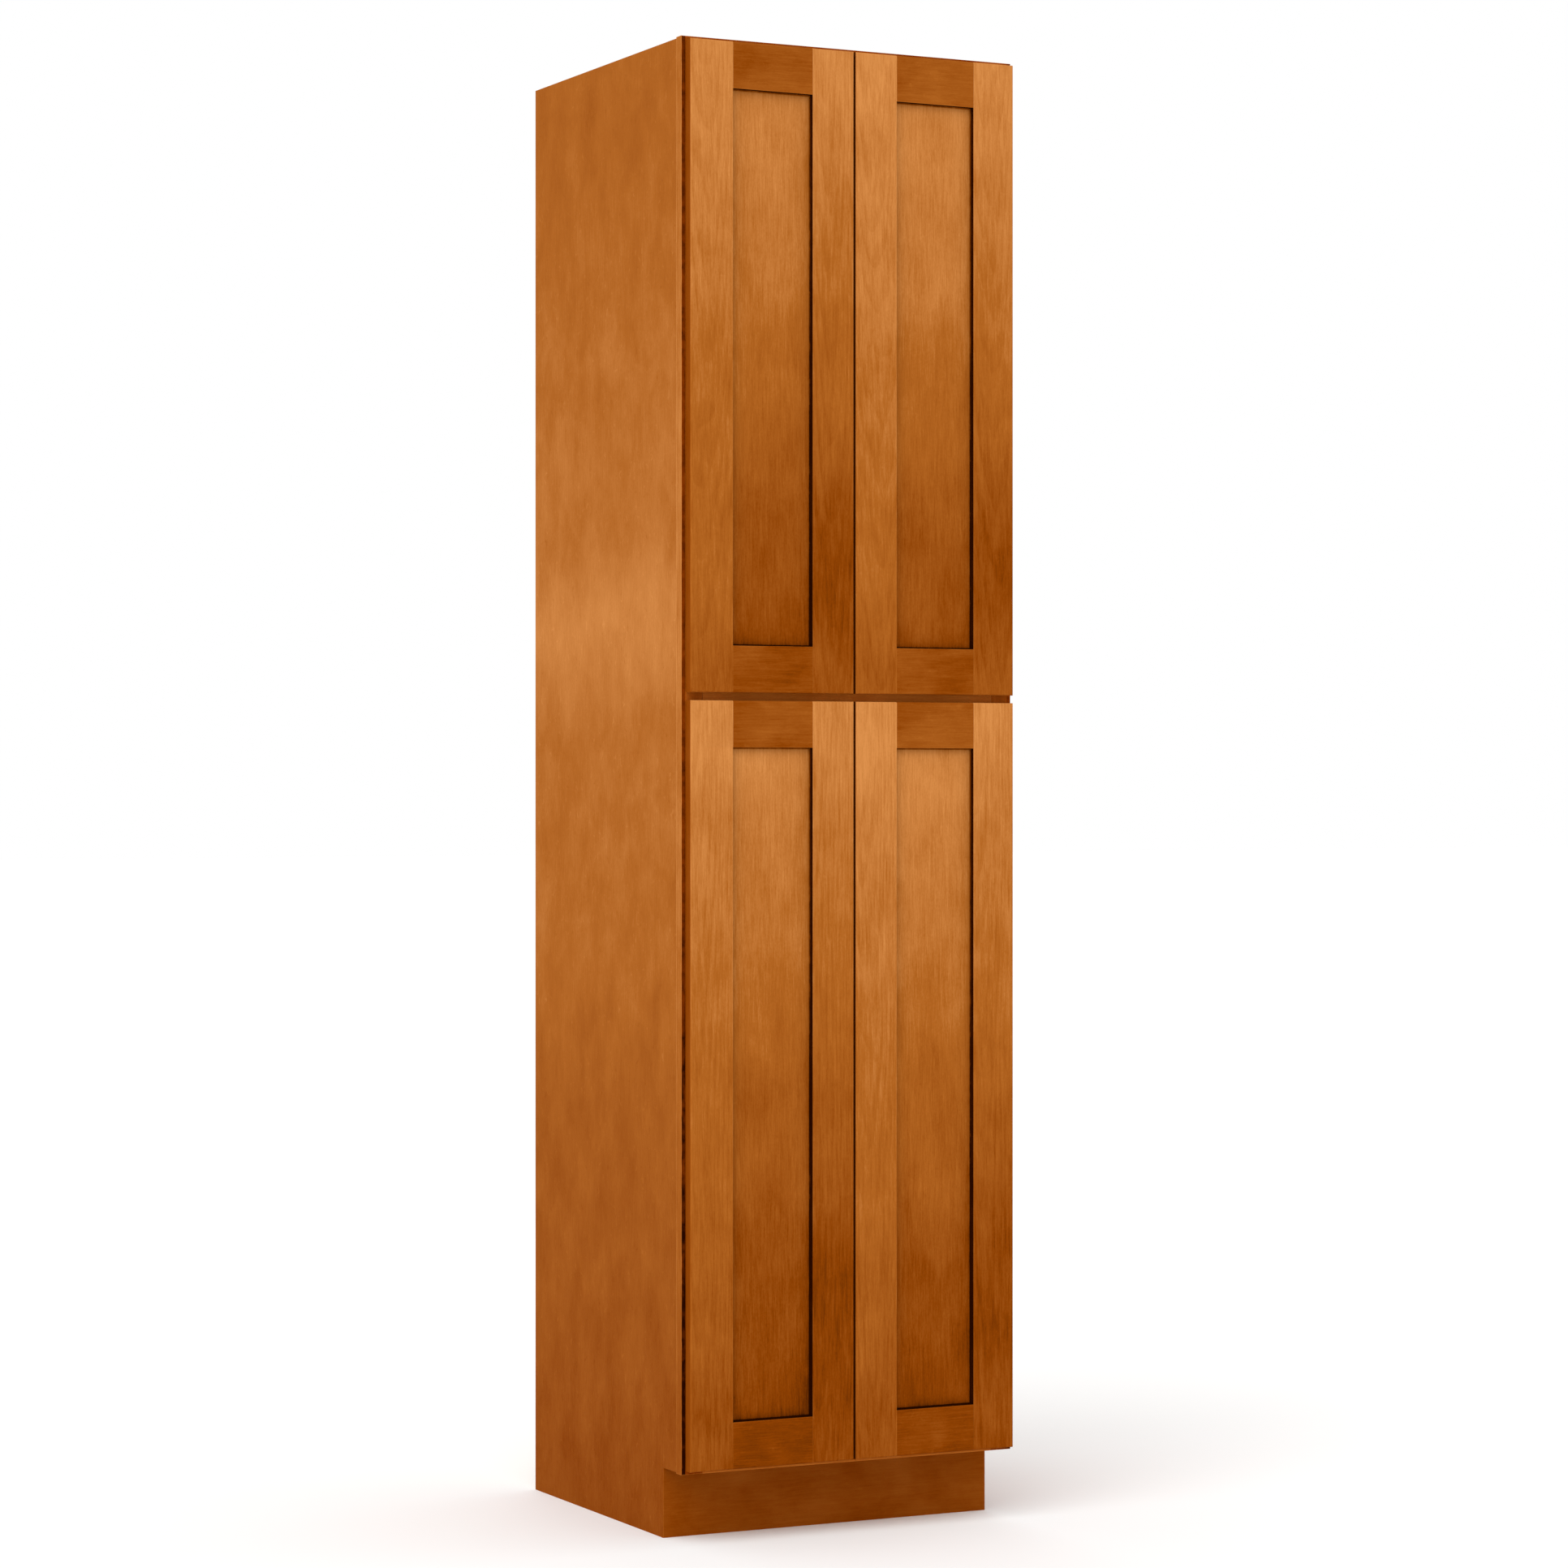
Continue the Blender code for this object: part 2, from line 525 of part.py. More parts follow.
def door(tier, word):
    low, high, hinges = TIERS[tier]
    side = SIDES[word]
    name = tier + "_" + word + "_door"
    axis = bpy.data.objects.new(name + "_hinge_axis", None)
    axis.location = (side * (DOOR_OUTER - PIVOT_INSET), PIVOT_Y, (low + high) / 2)
    cabinet.objects.link(axis)
    outward, inward = ("-x", "+x") if side < 0 else ("+x", "-x")
    hinge_stile = door_stile(name + "_hinge_stile", side, 0, low, high, outward, axis)
    latch = DOOR_WIDTH - DOOR_STILE_WIDTH
    door_stile(name + "_meeting_stile", side, latch, low, high, inward, axis)
    door_rail(name + "_bottom_rail", side, low, low + DOOR_RAIL_WIDTH, axis)
    door_rail(name + "_top_rail", side, high, high - DOOR_RAIL_WIDTH, axis)
    tongue = GROOVE_DEPTH - PANEL_PLAY
    x = from_edge(side, DOOR_STILE_WIDTH - tongue, DOOR_WIDTH - DOOR_STILE_WIDTH + tongue)
    z = (low + DOOR_RAIL_WIDTH - tongue, high - DOOR_RAIL_WIDTH + tongue)
    put(box(name + "_panel", x, (PANEL_FRONT, PANEL_BACK), z), cabinet, STAINED_MAPLE, axis)
    heights = hinge_heights(low, high, hinges)
    bottom = PIVOT_DEPTH + KNUCKLE_RADIUS + PIVOT_CLEARANCE + CUP_FLOOR + FIT
    middles = [Vector((side * (DOOR_OUTER - CUP_CENTRE), DOOR_BACK, z)) for z in heights]
    facing = Vector((0, 0, 1)).rotation_difference(Vector((0, 1, 0))).to_matrix()
    bores = rods(hinge_stile.name + "_bores", middles, BORE_RADIUS, 2 * bottom, CUP_FACETS, facing)
    cut(hinge_stile, bores)
    for number, z in enumerate(heights, 1):
        hinge_cup(name + "_hinge_cup_" + str(number), side, z, axis)
        hinge_arm(name + "_hinge_arm_" + str(number), side, z)


clear_scene()
cabinet = new_collection("pantry_cabinet")
tools = new_collection("cutters_and_joiners")
case()
face_frame()
adjustable_shelves()
for tier_name in TIERS:
    for side_word in SIDES:
        door(tier_name, side_word)
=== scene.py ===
"""A tall maple pantry cabinet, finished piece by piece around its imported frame.

Each operator models one kind of piece in place of the plain solids that stand for it. Wood is stained
maple outside and clear-finished maple plywood inside, and the hardware is nickel-plated steel.
"""

import json
import math
from contextlib import contextmanager

import bmesh
import bpy
from bpy.props import FloatProperty, FloatVectorProperty, PointerProperty
from mathutils import Euler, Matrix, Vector


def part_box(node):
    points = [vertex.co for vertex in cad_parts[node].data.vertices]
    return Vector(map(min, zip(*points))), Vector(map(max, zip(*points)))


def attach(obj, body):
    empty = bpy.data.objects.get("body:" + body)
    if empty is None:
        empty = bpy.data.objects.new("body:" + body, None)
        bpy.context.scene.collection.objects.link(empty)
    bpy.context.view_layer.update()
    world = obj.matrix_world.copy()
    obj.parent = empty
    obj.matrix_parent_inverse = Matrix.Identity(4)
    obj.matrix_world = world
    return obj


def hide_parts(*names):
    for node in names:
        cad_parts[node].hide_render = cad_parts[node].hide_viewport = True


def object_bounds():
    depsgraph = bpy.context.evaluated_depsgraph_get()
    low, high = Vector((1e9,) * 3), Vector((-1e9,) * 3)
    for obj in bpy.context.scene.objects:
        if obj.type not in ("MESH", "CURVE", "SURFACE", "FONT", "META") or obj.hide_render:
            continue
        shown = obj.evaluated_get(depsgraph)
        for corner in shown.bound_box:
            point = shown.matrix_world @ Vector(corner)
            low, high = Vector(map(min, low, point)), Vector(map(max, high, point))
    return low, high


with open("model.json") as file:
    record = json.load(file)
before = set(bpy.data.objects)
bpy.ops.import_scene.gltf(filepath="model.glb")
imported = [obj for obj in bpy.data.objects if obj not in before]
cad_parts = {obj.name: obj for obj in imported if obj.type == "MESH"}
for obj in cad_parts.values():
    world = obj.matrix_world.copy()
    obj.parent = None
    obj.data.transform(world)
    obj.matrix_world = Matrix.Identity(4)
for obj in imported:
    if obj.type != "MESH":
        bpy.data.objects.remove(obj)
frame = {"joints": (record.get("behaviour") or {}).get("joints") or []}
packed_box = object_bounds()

bl_info = {
    "name": "Pantry Cabinet",
    "version": (1, 0, 0),
    "blender": (4, 5, 0),
    "location": "3D View > Sidebar > Pantry",
    "description": "Models a face-frame pantry cabinet with four shaker doors, its hinges and its shelves",
    "category": "Add Mesh",
}

X, Y, Z = range(3)
MM = 0.001
HAIR = 0.02 * MM  # a point this near to a plane counts as lying on it
FIT = 0.3 * MM  # gap that the frame's solids keep between pieces that touch
PAST = 2 * MM  # how far a cutting tool runs past what it cuts
FLANGE_COVER = 0.5 * MM  # how far a hinge cup's flange reaches past its bore
PLATE_DEPTH = 17.05 * MM  # a hinge plate's reach from front to rear
PLATE_FACE, PLATE_ROOT = 0.95 * MM, 2.15 * MM  # from a hinge arm's far side in to its plate's two faces
BOARD_STEP = 3.7  # metres along the grain between two boards, so that no two share a figure
SMOOTH_ANGLE = math.radians(32)

CUP_SIDES, HEAD_SIDES, PEG_SIDES, HINGE_PIN_SIDES = 48, 32, 20, 16  # flats that make up a round

SIDES = {"left": -1, "right": 1}
TIERS = {"lower": 3, "upper": 2}  # hinges on each door
DOORS = [(tier, word) for tier in TIERS for word in SIDES]
CASE = "carcass"
CASE_BOARDS = (  # each board, the axis through its thickness, and the axis of its grain
    ("top_panel", Z, X), ("bottom_deck", Z, X), ("fixed_shelf", Z, X), ("back_panel", Y, Z),
    ("upper_hanging_rail", Y, X), ("rear_base_rail", Y, X), ("toe_kick_rail", Y, X),
)

# How light a board's tone is, from 0 to 1, at these heights up a door or a side: partly the stain and
# partly painted light and shade, darker towards the foot
STAIN_AND_SHADE_LEVELS = (0.0, 0.2, 0.45, 0.7, 1.0)
DOOR_STAIN_AND_SHADE = {
    "upper": {
        "left_stile": (0.50, 0.61, 0.67, 0.79, 0.90), "right_stile": (0.46, 0.36, 0.58, 0.73, 0.89),
        "panel": (0.35, 0.43, 0.58, 0.77, 0.87), "bottom_rail": (0.38,) * 5, "top_rail": (0.47,) * 5,
    },
    "lower": {
        "left_stile": (0.42, 0.55, 0.63, 0.75, 0.91), "right_stile": (0.38, 0.32, 0.52, 0.70, 0.88),
        "panel": (0.27, 0.38, 0.53, 0.73, 0.89), "bottom_rail": (0.30,) * 5, "top_rail": (0.44,) * 5,
    },
}
SIDE_STAIN_AND_SHADE = (0.41, 0.51, 0.69, 0.72, 0.62)
SIDE_PAINTED_SHEEN = (1.49, 0.19, 0.15)  # a painted sheen, a lighter band across a side: its height, half its width, and its strength
RIGHT_DOOR_LIGHTER = 0.03
# Tones of faces painted dark as shade: a door's outer edge, its meeting edge in the gap between the doors,
# and the walls of its recess
OUTER_EDGE_SHADED_TONE = 0.36
MEETING_EDGE_SHADED_TONE = 0.15
RECESS_SHADED_TONE = 0.0
FRAME_FRONT_DARKER = 0.06  # than a side: painted shade on the frame's front strips beside the doors
FRAME_BODY_LIGHTER = 0.08  # than a side: a painted highlight along the frame's outer side
FRAME_RAIL_STAIN = 0.80
TOE_STAIN = 0.39

# How strong the grain's fibres, streaks, mottle, growth lines and curl are
FIGURES = {
    "stile": (1.0, 1.5, 0.7, 1.0, 0.5),
    "rail": (0.8, 0.9, 1.0, 0.4, 0.7),
    "panel": (1.2, 1.1, 0.7, 0.2, 0.4),
    "frame_rail": (0.8, 0.8, 0.8, 0.6, 0.0),
    "side": (0.8, 0.10, 0.7, 0.1, 1.1),
    "toe": (0.5, 0.5, 0.9, 0.2, 0.3),
    "edge": (0.5, 0.4, 0.3, 0.0, 0.0),
}


# Settings --------------------------------------------------------------------


def length(name, description, millimetres):
    return FloatProperty(
        name=name, description=description, default=millimetres * MM, min=0.0, unit="LENGTH", precision=5
    )


def share(name, description, value):
    return FloatProperty(
        name=name, description=description, default=value, min=0.0, max=1.0, subtype="FACTOR"
    )


def colour(name, description, value):
    return FloatVectorProperty(
        name=name, description=description, default=value, size=3, min=0.0, max=1.0, subtype="COLOR"
    )


class PantryWood(bpy.types.PropertyGroup):
    """Sizes of the finished woodwork."""

    door_round: length("Door front radius", "Round along a door's outer front edges", 3.175)
    door_back_round: length("Door back radius", "Round along a door's outer back edges", 1.5)
    sticking_ease: length("Sticking ease", "Ease along the inner edges of a door's frame", 0.8)
    joint_gap: length("Joint line", "Hairline between a stile and a rail", 0.06)
    joint_ease: length("Joint ease", "Ease on a rail's shoulder", 0.15)
    groove_depth: length("Groove depth", "Depth of the groove that holds a door's panel", 9.525)
    frame_ease: length("Front ease", "Ease along the front edges of the face frame and the shelves", 0.8)
    board_ease: length("Board ease", "Ease along the edges of the sides and the case's boards", 0.4)
    dado_depth: length("Dado depth", "Depth of the dados in the sides", 6.35)
    edge_band: length("Edge band", "Thickness of the solid strip on a shelf's front edge", 3.0)


class PantryHardware(bpy.types.PropertyGroup):
    """Sizes of the hinges, pins, screws and bumpers."""

    pin_radius: length("Shelf pin radius", "Radius of a shelf pin and its hole", 2.5)
    pin_pitch: length("Pin pitch", "Height between two pin holes", 64.0)
    pin_inset: length("Pin row inset", "From a shelf's front or rear edge to the row of holes", 60.0)
    pin_hole_depth: length("Pin hole depth", "Depth of a pin hole in the side", 9.0)
    paddle_reach: length("Paddle reach", "How far a shelf pin's paddle stands out of the side", 9.0)
    cup_radius: length("Hinge cup radius", "Outer radius of a hinge cup, inside its bore", 17.2)
    cup_sheet: length("Hinge sheet", "Thickness of the sheet a hinge is pressed from", 0.8)
    ear_width: length("Screw ear width", "Width of a hinge cup's screw ears", 11.0)
    pivot_radius: length("Hinge pin radius", "Radius of a hinge's pin", 1.0)
    arm_width: length("Hinge arm width", "Width of a hinge arm", 10.0)
    arm_bend: length("Hinge arm bend", "Outer radius of the bend in a hinge arm", 2.5)
    screw_head: length("Screw head radius", "Radius of a hinge screw's head", 3.4)
    screw_rise: length("Domed head height", "How far a plate screw's domed head stands up", 1.7)
    flat_rise: length("Flat head height", "How far a cup screw's flat head stands up", 0.5)
    ear_screw: length("Cup screw place", "From a hinge's middle to each screw in its cup's ears", 21.6)
    plate_screw: length("Plate screw place", "From a hinge's middle to each screw in its plate", 13.5)
    bumper_radius: length("Bumper radius", "Radius of a door bumper", 4.0)
    bumper_rise: length("Bumper height", "Thickness of a door bumper", 2.2)
    bumper_inset: length("Bumper inset", "From a door's end to the middle of its bumper", 6.5)


class PantryFinish(bpy.types.PropertyGroup):
    """Colours of the wood and hardware."""

    # The deepest stain is also the colour of the painted shade in the recesses and gaps
    stain_deep: colour("Stain, deepest", "Stained maple where the stain pools", (0.026, 0.0041, 0.0))
    stain_dark: colour("Stain, dark", "Stained maple in its dark areas", (0.244, 0.0477, 0.0004))
    stain_middle: colour("Stain, middle", "Stained maple over most of a board", (0.404, 0.118, 0.0140))
    stain_light: colour("Stain, light", "Stained maple in its light areas", (0.632, 0.248, 0.0640))
    # Painted shade tint: darkens and reddens the face frame, whose front shows only in the shade beside,
    # above and between the doors
    glaze: colour("Painted shade tint", "Tint of the glaze left on the face frame", (1.0, 0.80, 0.45))
    maple_dark: colour("Clear maple, dark", "Clear-finished maple in its grain", (0.56, 0.37, 0.19))
    maple_light: colour("Clear maple, light", "Clear-finished maple between its grain", (0.78, 0.60, 0.38))
    steel: colour("Plated steel", "Colour of the plated hinges, screws and shelf pins", (0.80, 0.79, 0.77))
    bumper: colour("Bumper", "Colour of the clear door bumpers", (0.80, 0.80, 0.78))
    floor: colour("Floor", "Colour of the studio floor", (0.97, 0.97, 0.965))
    grain: share("Grain", "Strength of the stained maple's grain", 0.5)


class PantryStage(bpy.types.PropertyGroup):
    """The camera and the light."""

    camera_turn: FloatProperty(
        name="Camera turn", description="How far the camera looks to the right of straight ahead",
        default=math.radians(26.489), subtype="ANGLE",
    )
    camera_back: length("Camera distance", "Level distance from the cabinet's middle to the camera", 7226.9)
    camera_across: length("Camera shift", "How far the camera's line passes beside the middle", 24.1)
    camera_height: length("Camera height", "Height of the lens above the floor", 1230.0)
    lens: FloatProperty(name="Lens", description="Focal length", default=97.13, min=10.0, unit="CAMERA")
    dome: FloatProperty(name="Dome", description="Strength of the even light", default=0.80, min=0.0)
    glow: FloatProperty(name="Glow", description="How bright reflected surroundings are", default=0.25)
    key: FloatProperty(name="Key", description="Strength of the directional light", default=1.1, min=0.0)
    sheen: FloatProperty(name="Softboxes", description="Power of each softbox", default=18.0, min=0.0)


SETTINGS = {
    "pantry_wood": PantryWood,
    "pantry_hardware": PantryHardware,
    "pantry_finish": PantryFinish,
    "pantry_stage": PantryStage,
}


def settings(name):
    """The wood, hardware, finish or stage settings."""
    return getattr(bpy.context.scene, "pantry_" + name)


# Modelling -------------------------------------------------------------------


class ModellingError(RuntimeError):
    """A piece couldn't be shaped."""


def rename(obj, name):
    obj.name = obj.data.name = name
    return obj


def block(name, low, high):
    """A box between two corners, as the start of a board."""
    bpy.ops.object.select_all(action="DESELECT")
    low, high = Vector(low), Vector(high)
    bpy.ops.mesh.primitive_cube_add(size=1, location=(low + high) / 2, scale=high - low)
    bpy.ops.object.transform_apply(location=True, rotation=True, scale=True)
    return rename(bpy.context.active_object, name)


def rod(name, start, end, radius, sides):
    """A round bar between two points, as the start of a turned piece."""
    bpy.ops.object.select_all(action="DESELECT")
    start, end = Vector(start), Vector(end)
    turn = Vector((0, 0, 1)).rotation_difference(end - start).to_euler()
    bpy.ops.mesh.primitive_cylinder_add(
        vertices=sides, radius=radius, depth=(end - start).length, location=(start + end) / 2, rotation=turn
    )
    bpy.ops.object.transform_apply(location=True, rotation=True, scale=True)
    return rename(bpy.context.active_object, name)


@contextmanager
def edit(obj, kind="EDGE"):
    """Edit mode on one object, with nothing selected."""
    bpy.ops.object.select_all(action="DESELECT")
    bpy.context.view_layer.objects.active = obj
    obj.select_set(True)
    bpy.ops.object.mode_set(mode="EDIT")
    bpy.ops.mesh.select_mode(type=kind)
    bpy.ops.mesh.select_all(action="DESELECT")
    yield
    bpy.ops.object.mode_set(mode="OBJECT")


def pick(kind, wanted):
    """In edit mode, selects only the edges or faces that are wanted."""
    bpy.ops.mesh.select_all(action="DESELECT")
    mesh = bpy.context.edit_object.data
    found = [element for element in getattr(bmesh.from_edit_mesh(mesh), kind) if wanted(element)]
    if not found:
        raise ModellingError(f"{mesh.name}: none of its {kind} lies where it should")
    for element in found:
        element.select_set(True)
    bmesh.update_edit_mesh(mesh)


def on(element, plane):
    """True if an edge or face lies on a plane, given as (axis, level)."""
    axis, level = plane
    return all(abs(vert.co[axis] - level) < HAIR for vert in element.verts)


def halfway(element):
    """The middle of an edge's or face's corners."""
    return sum((vert.co for vert in element.verts), Vector()) / len(element.verts)


def rim_of(low, high, through=Y):
    """The four planes round a board whose thickness runs along the axis through."""
    return [(axis, level) for axis in (X, Y, Z) if axis != through for level in (low[axis], high[axis])]


def round_edges(obj, corners, radius, segments=3, along=None):
    """Rounds the edges where two planes meet. along limits it to edges whose middle passes that test."""

    def wanted(edge):
        meets = any(on(edge, a) and on(edge, b) for a, b in corners)
        return meets and (along is None or along(halfway(edge)))

    with edit(obj):
        pick("edges", wanted)
        bpy.ops.mesh.bevel(offset=radius, segments=segments, affect="EDGES", clamp_overlap=True)


def round_border(obj, plane, sides, radius, segments=3):
    """Rounds the edges where a plane meets each of the others."""
    round_edges(obj, [(plane, side) for side in sides], radius, segments)


def slice_across(obj, axis, levels):
    """Cuts new edges round the piece at each level, without parting it."""
    normal = [0, 0, 0]
    normal[axis] = 1
    for level in levels:
        with edit(obj):
            bpy.ops.mesh.select_all(action="SELECT")
            place = [0, 0, 0]
            place[axis] = level
            bpy.ops.mesh.bisect(plane_co=place, plane_no=normal)


def shape_with(obj, tool, operation="DIFFERENCE"):
    """Cuts, joins or trims the piece with a tool, and takes the tool away."""
    modifier = obj.modifiers.new("joinery", "BOOLEAN")
    modifier.operation = operation
    modifier.solver = "EXACT"
    modifier.object = tool
    bpy.context.view_layer.objects.active = obj
    bpy.ops.object.modifier_apply(modifier=modifier.name)
    bpy.data.objects.remove(tool)
    return obj


def combine(name, pieces):
    """Several shapes as one object."""
    bpy.ops.object.select_all(action="DESELECT")
    for piece in pieces:
        piece.select_set(True)
    bpy.context.view_layer.objects.active = pieces[0]
    bpy.ops.object.join()
    return rename(bpy.context.active_object, name)


def copy_to(obj, name, shift, mirrored=False):
    """A copy with its own mesh, mirrored from left to right if asked, and moved by a shift."""
    bpy.ops.object.select_all(action="DESELECT")
    obj.select_set(True)
    bpy.context.view_layer.objects.active = obj
    bpy.ops.object.duplicate(linked=False)
    made = rename(bpy.context.active_object, name)
    if mirrored:
        bpy.ops.transform.resize(value=(-1, 1, 1), center_override=(0, 0, 0))
        bpy.ops.object.transform_apply(location=True, rotation=True, scale=True)
        with edit(made, "FACE"):
            bpy.ops.mesh.select_all(action="SELECT")
            bpy.ops.mesh.normals_make_consistent(inside=False)
    bpy.ops.transform.translate(value=shift)
    bpy.ops.object.transform_apply(location=True, rotation=True, scale=True)
    return made


def smooth(obj):
    """Smooth shading over the rounds, with the flats kept flat."""
    bpy.ops.object.select_all(action="DESELECT")
    obj.select_set(True)
    bpy.context.view_layer.objects.active = obj
    bpy.ops.object.shade_smooth_by_angle(angle=SMOOTH_ANGLE)
    modifier = obj.modifiers.new("flats", "WEIGHTED_NORMAL")
    modifier.keep_sharp = True
    modifier.weight = 100
    bpy.ops.object.modifier_apply(modifier=modifier.name)


def paint(obj, material, wanted=None):
    """Gives the whole piece a material, or only the faces that are wanted."""
    obj.data.materials.append(material)
    index = len(obj.data.materials) - 1
    for face in obj.data.polygons:
        if wanted is None or wanted(face):
            face.material_index = index


def settle(obj, body, slot, *nodes):
    """The piece is finished: it rides on its body and stands for its solids."""
    smooth(obj)
    if nodes:
        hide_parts(*nodes)
    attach(obj, body)


# Node groups and materials ---------------------------------------------------


class Wiring:
    """Adds nodes to a tree and links them."""

    def __init__(self, tree):
        self.tree = tree

    def feed(self, socket, value):
        if isinstance(value, bpy.types.NodeSocket):
            self.tree.links.new(value, socket)
        else:
            socket.default_value = value

    def node(self, kind, inputs=None, **options):
        made = self.tree.nodes.new("ShaderNode" + kind)
        for name, value in options.items():
            setattr(made, name, value)
        for name, value in (inputs or {}).items():
            self.feed(made.inputs[name], value)
        return made

    def maths(self, operation, *values, clamp=False):
        made = self.node("Math", operation=operation, use_clamp=clamp)
        for socket, value in zip(made.inputs, values):
            self.feed(socket, value)
        return made.outputs["Value"]

    def vector(self, operation, *values, output="Vector"):
        made = self.node("VectorMath", operation=operation)
        for socket, value in zip(made.inputs, values):
            self.feed(socket, value)
        return made.outputs[output]

    def noise(self, vector, detail=2.0, roughness=0.5, distortion=0.0):
        made = self.node("TexNoise", {
            "Vector": vector, "Scale": 1.0, "Detail": detail, "Roughness": roughness,
            "Distortion": distortion,
        })
        return made.outputs["Fac"]

    def stretch(self, vector, across, along):
        """The vector in units of a streak's width and length, which runs along Z."""
        return self.vector("MULTIPLY", vector, (1 / across, 1 / across, 1 / along))

    def ease(self, value, low, high, at_low=0.0, at_high=1.0):
        """Runs smoothly from one value to another as the input goes from low to high."""
        made = self.node("MapRange", {
            "Value": value, "From Min": low, "From Max": high, "To Min": at_low, "To Max": at_high,
        }, interpolation_type="SMOOTHSTEP")
        return made.outputs["Result"]

    def mix(self, factor, a, b):
        made = self.node("Mix", data_type="FLOAT")
        for index, value in ((0, factor), (2, a), (3, b)):
            self.feed(made.inputs[index], value)
        return made.outputs[0]

    def between(self, factor, first, second):
        """A colour that goes from the first to the second as the factor goes from 0 to 1."""
        inputs = {"Fac": factor, "Color1": (*first, 1), "Color2": (*second, 1)}
        return self.node("MixRGB", inputs).outputs["Color"]

    def about(self, value, strength):
        """A noise's swing about its middle, times a strength."""
        return self.maths("MULTIPLY", self.maths("SUBTRACT", value, 0.5), strength)


FLOAT, VECTOR, COLOUR = "NodeSocketFloat", "NodeSocketVector", "NodeSocketColor"


def new_group(name, inputs, outputs):
    """A node group with named sockets. Returns its wiring, its inputs and its output node."""
    tree = bpy.data.node_groups.new(name, "ShaderNodeTree")
    for label, kind, default in inputs:
        socket = tree.interface.new_socket(label, in_out="INPUT", socket_type=kind)
        socket.default_value = default
    for label, kind in outputs:
        tree.interface.new_socket(label, in_out="OUTPUT", socket_type=kind)
    wiring = Wiring(tree)
    given = tree.nodes.new("NodeGroupInput").outputs
    result = tree.nodes.new("NodeGroupOutput").inputs
    return wiring, given, result


def maple_grain_group():
    """Maple's fibres, streaks, mottle, growth lines, flecks and curl. The grain runs along the vector's Z."""
    wiring, given, result = new_group(
        "maple_grain",
        [("Vector", VECTOR, (0, 0, 0)), ("Fibre", FLOAT, 1.0), ("Streak", FLOAT, 1.0),
         ("Mottle", FLOAT, 1.0), ("Growth", FLOAT, 1.0), ("Curl", FLOAT, 0.0)],
        [("Tone", FLOAT), ("Height", FLOAT)],
    )
    place = given["Vector"]
    fibres = wiring.noise(wiring.stretch(place, 1.4 * MM, 30 * MM), detail=3, roughness=0.62)
    streaks = wiring.noise(wiring.stretch(place, 5 * MM, 80 * MM), detail=3, roughness=0.55, distortion=0.1)
    mottle = wiring.noise(wiring.stretch(place, 65 * MM, 95 * MM), detail=4, roughness=0.5, distortion=0.3)
    wander = wiring.noise(wiring.stretch(place, 70 * MM, 650 * MM), detail=2, roughness=0.45)
    flat = wiring.vector("MULTIPLY", place, (1, 1, 0))
    radius = wiring.vector("LENGTH", flat, output="Value")
    wandered = wiring.maths("ADD", radius, wiring.about(wander, 22 * MM))
    year = wiring.maths("FRACT", wiring.maths("DIVIDE", wandered, 4.2 * MM))
    growth = wiring.maths("MULTIPLY", wiring.ease(year, 0.35, 0.93), wiring.ease(year, 0.94, 1.0, 1.0, 0.0))
    speck = wiring.noise(wiring.stretch(place, 2.0 * MM, 4.5 * MM), detail=2)
    fleck = wiring.ease(speck, 0.70, 0.80)
    curl = wiring.noise(wiring.stretch(place, 9 * MM, 13 * MM), detail=3, roughness=0.6, distortion=0.8)
    light_curl = wiring.ease(curl, 0.58, 0.78, 0.0, 0.10)
    dark_curl = wiring.ease(curl, 0.24, 0.40, 0.07, 0.0)
    curls = wiring.maths("SUBTRACT", light_curl, dark_curl)
    fine = wiring.maths("ADD", wiring.about(fibres, 0.30), wiring.about(speck, 0.13))
    tone = wiring.maths("MULTIPLY", fine, given["Fibre"])
    tone = wiring.maths("ADD", tone, wiring.maths("MULTIPLY", curls, given["Curl"]))
    for value, strength, share_of in ((streaks, 0.20, "Streak"), (mottle, 0.42, "Mottle")):
        part = wiring.maths("MULTIPLY", wiring.about(value, strength), given[share_of])
        tone = wiring.maths("ADD", tone, part)
    lines = wiring.maths("MULTIPLY", wiring.maths("MULTIPLY", growth, 0.05), given["Growth"])
    tone = wiring.maths("SUBTRACT", tone, lines)
    tone = wiring.maths("SUBTRACT", tone, wiring.maths("MULTIPLY", fleck, 0.03))
    wiring.feed(result["Tone"], tone)
    height = wiring.maths("ADD", wiring.maths("MULTIPLY", fibres, 0.7), wiring.maths("MULTIPLY", fleck, -0.3))
    wiring.feed(result["Height"], height)
    return wiring.tree


def stain_drift_group():
    """How light a piece is up its height, partly the stain and partly painted light and shade:
    five tones from its foot to its head, with a wandering edge.
    """
    marks = ["Foot", "Low", "Middle", "High", "Head"]
    wiring, given, result = new_group(
        "stain_drift",
        [("Vector", VECTOR, (0, 0, 0)), ("From", FLOAT, 0.0), ("To", FLOAT, 1.0)]
        + [(mark, FLOAT, 0.6) for mark in marks],
        [("Tone", FLOAT)],
    )
    height = wiring.node("SeparateXYZ", {"Vector": given["Vector"]}).outputs["Z"]
    span = wiring.maths("SUBTRACT", given["To"], given["From"])
    level = wiring.maths("DIVIDE", wiring.maths("SUBTRACT", height, given["From"]), span)
    drift = wiring.noise(wiring.stretch(given["Vector"], 45 * MM, 160 * MM), detail=3)
    level = wiring.maths("ADD", level, wiring.about(drift, 0.20))
    tone = given["Foot"]
    for below, above, mark in zip(STAIN_AND_SHADE_LEVELS, STAIN_AND_SHADE_LEVELS[1:], marks[1:]):
        tone = wiring.mix(wiring.ease(level, below, above), tone, given[mark])
    wiring.feed(result["Tone"], tone)
    return wiring.tree


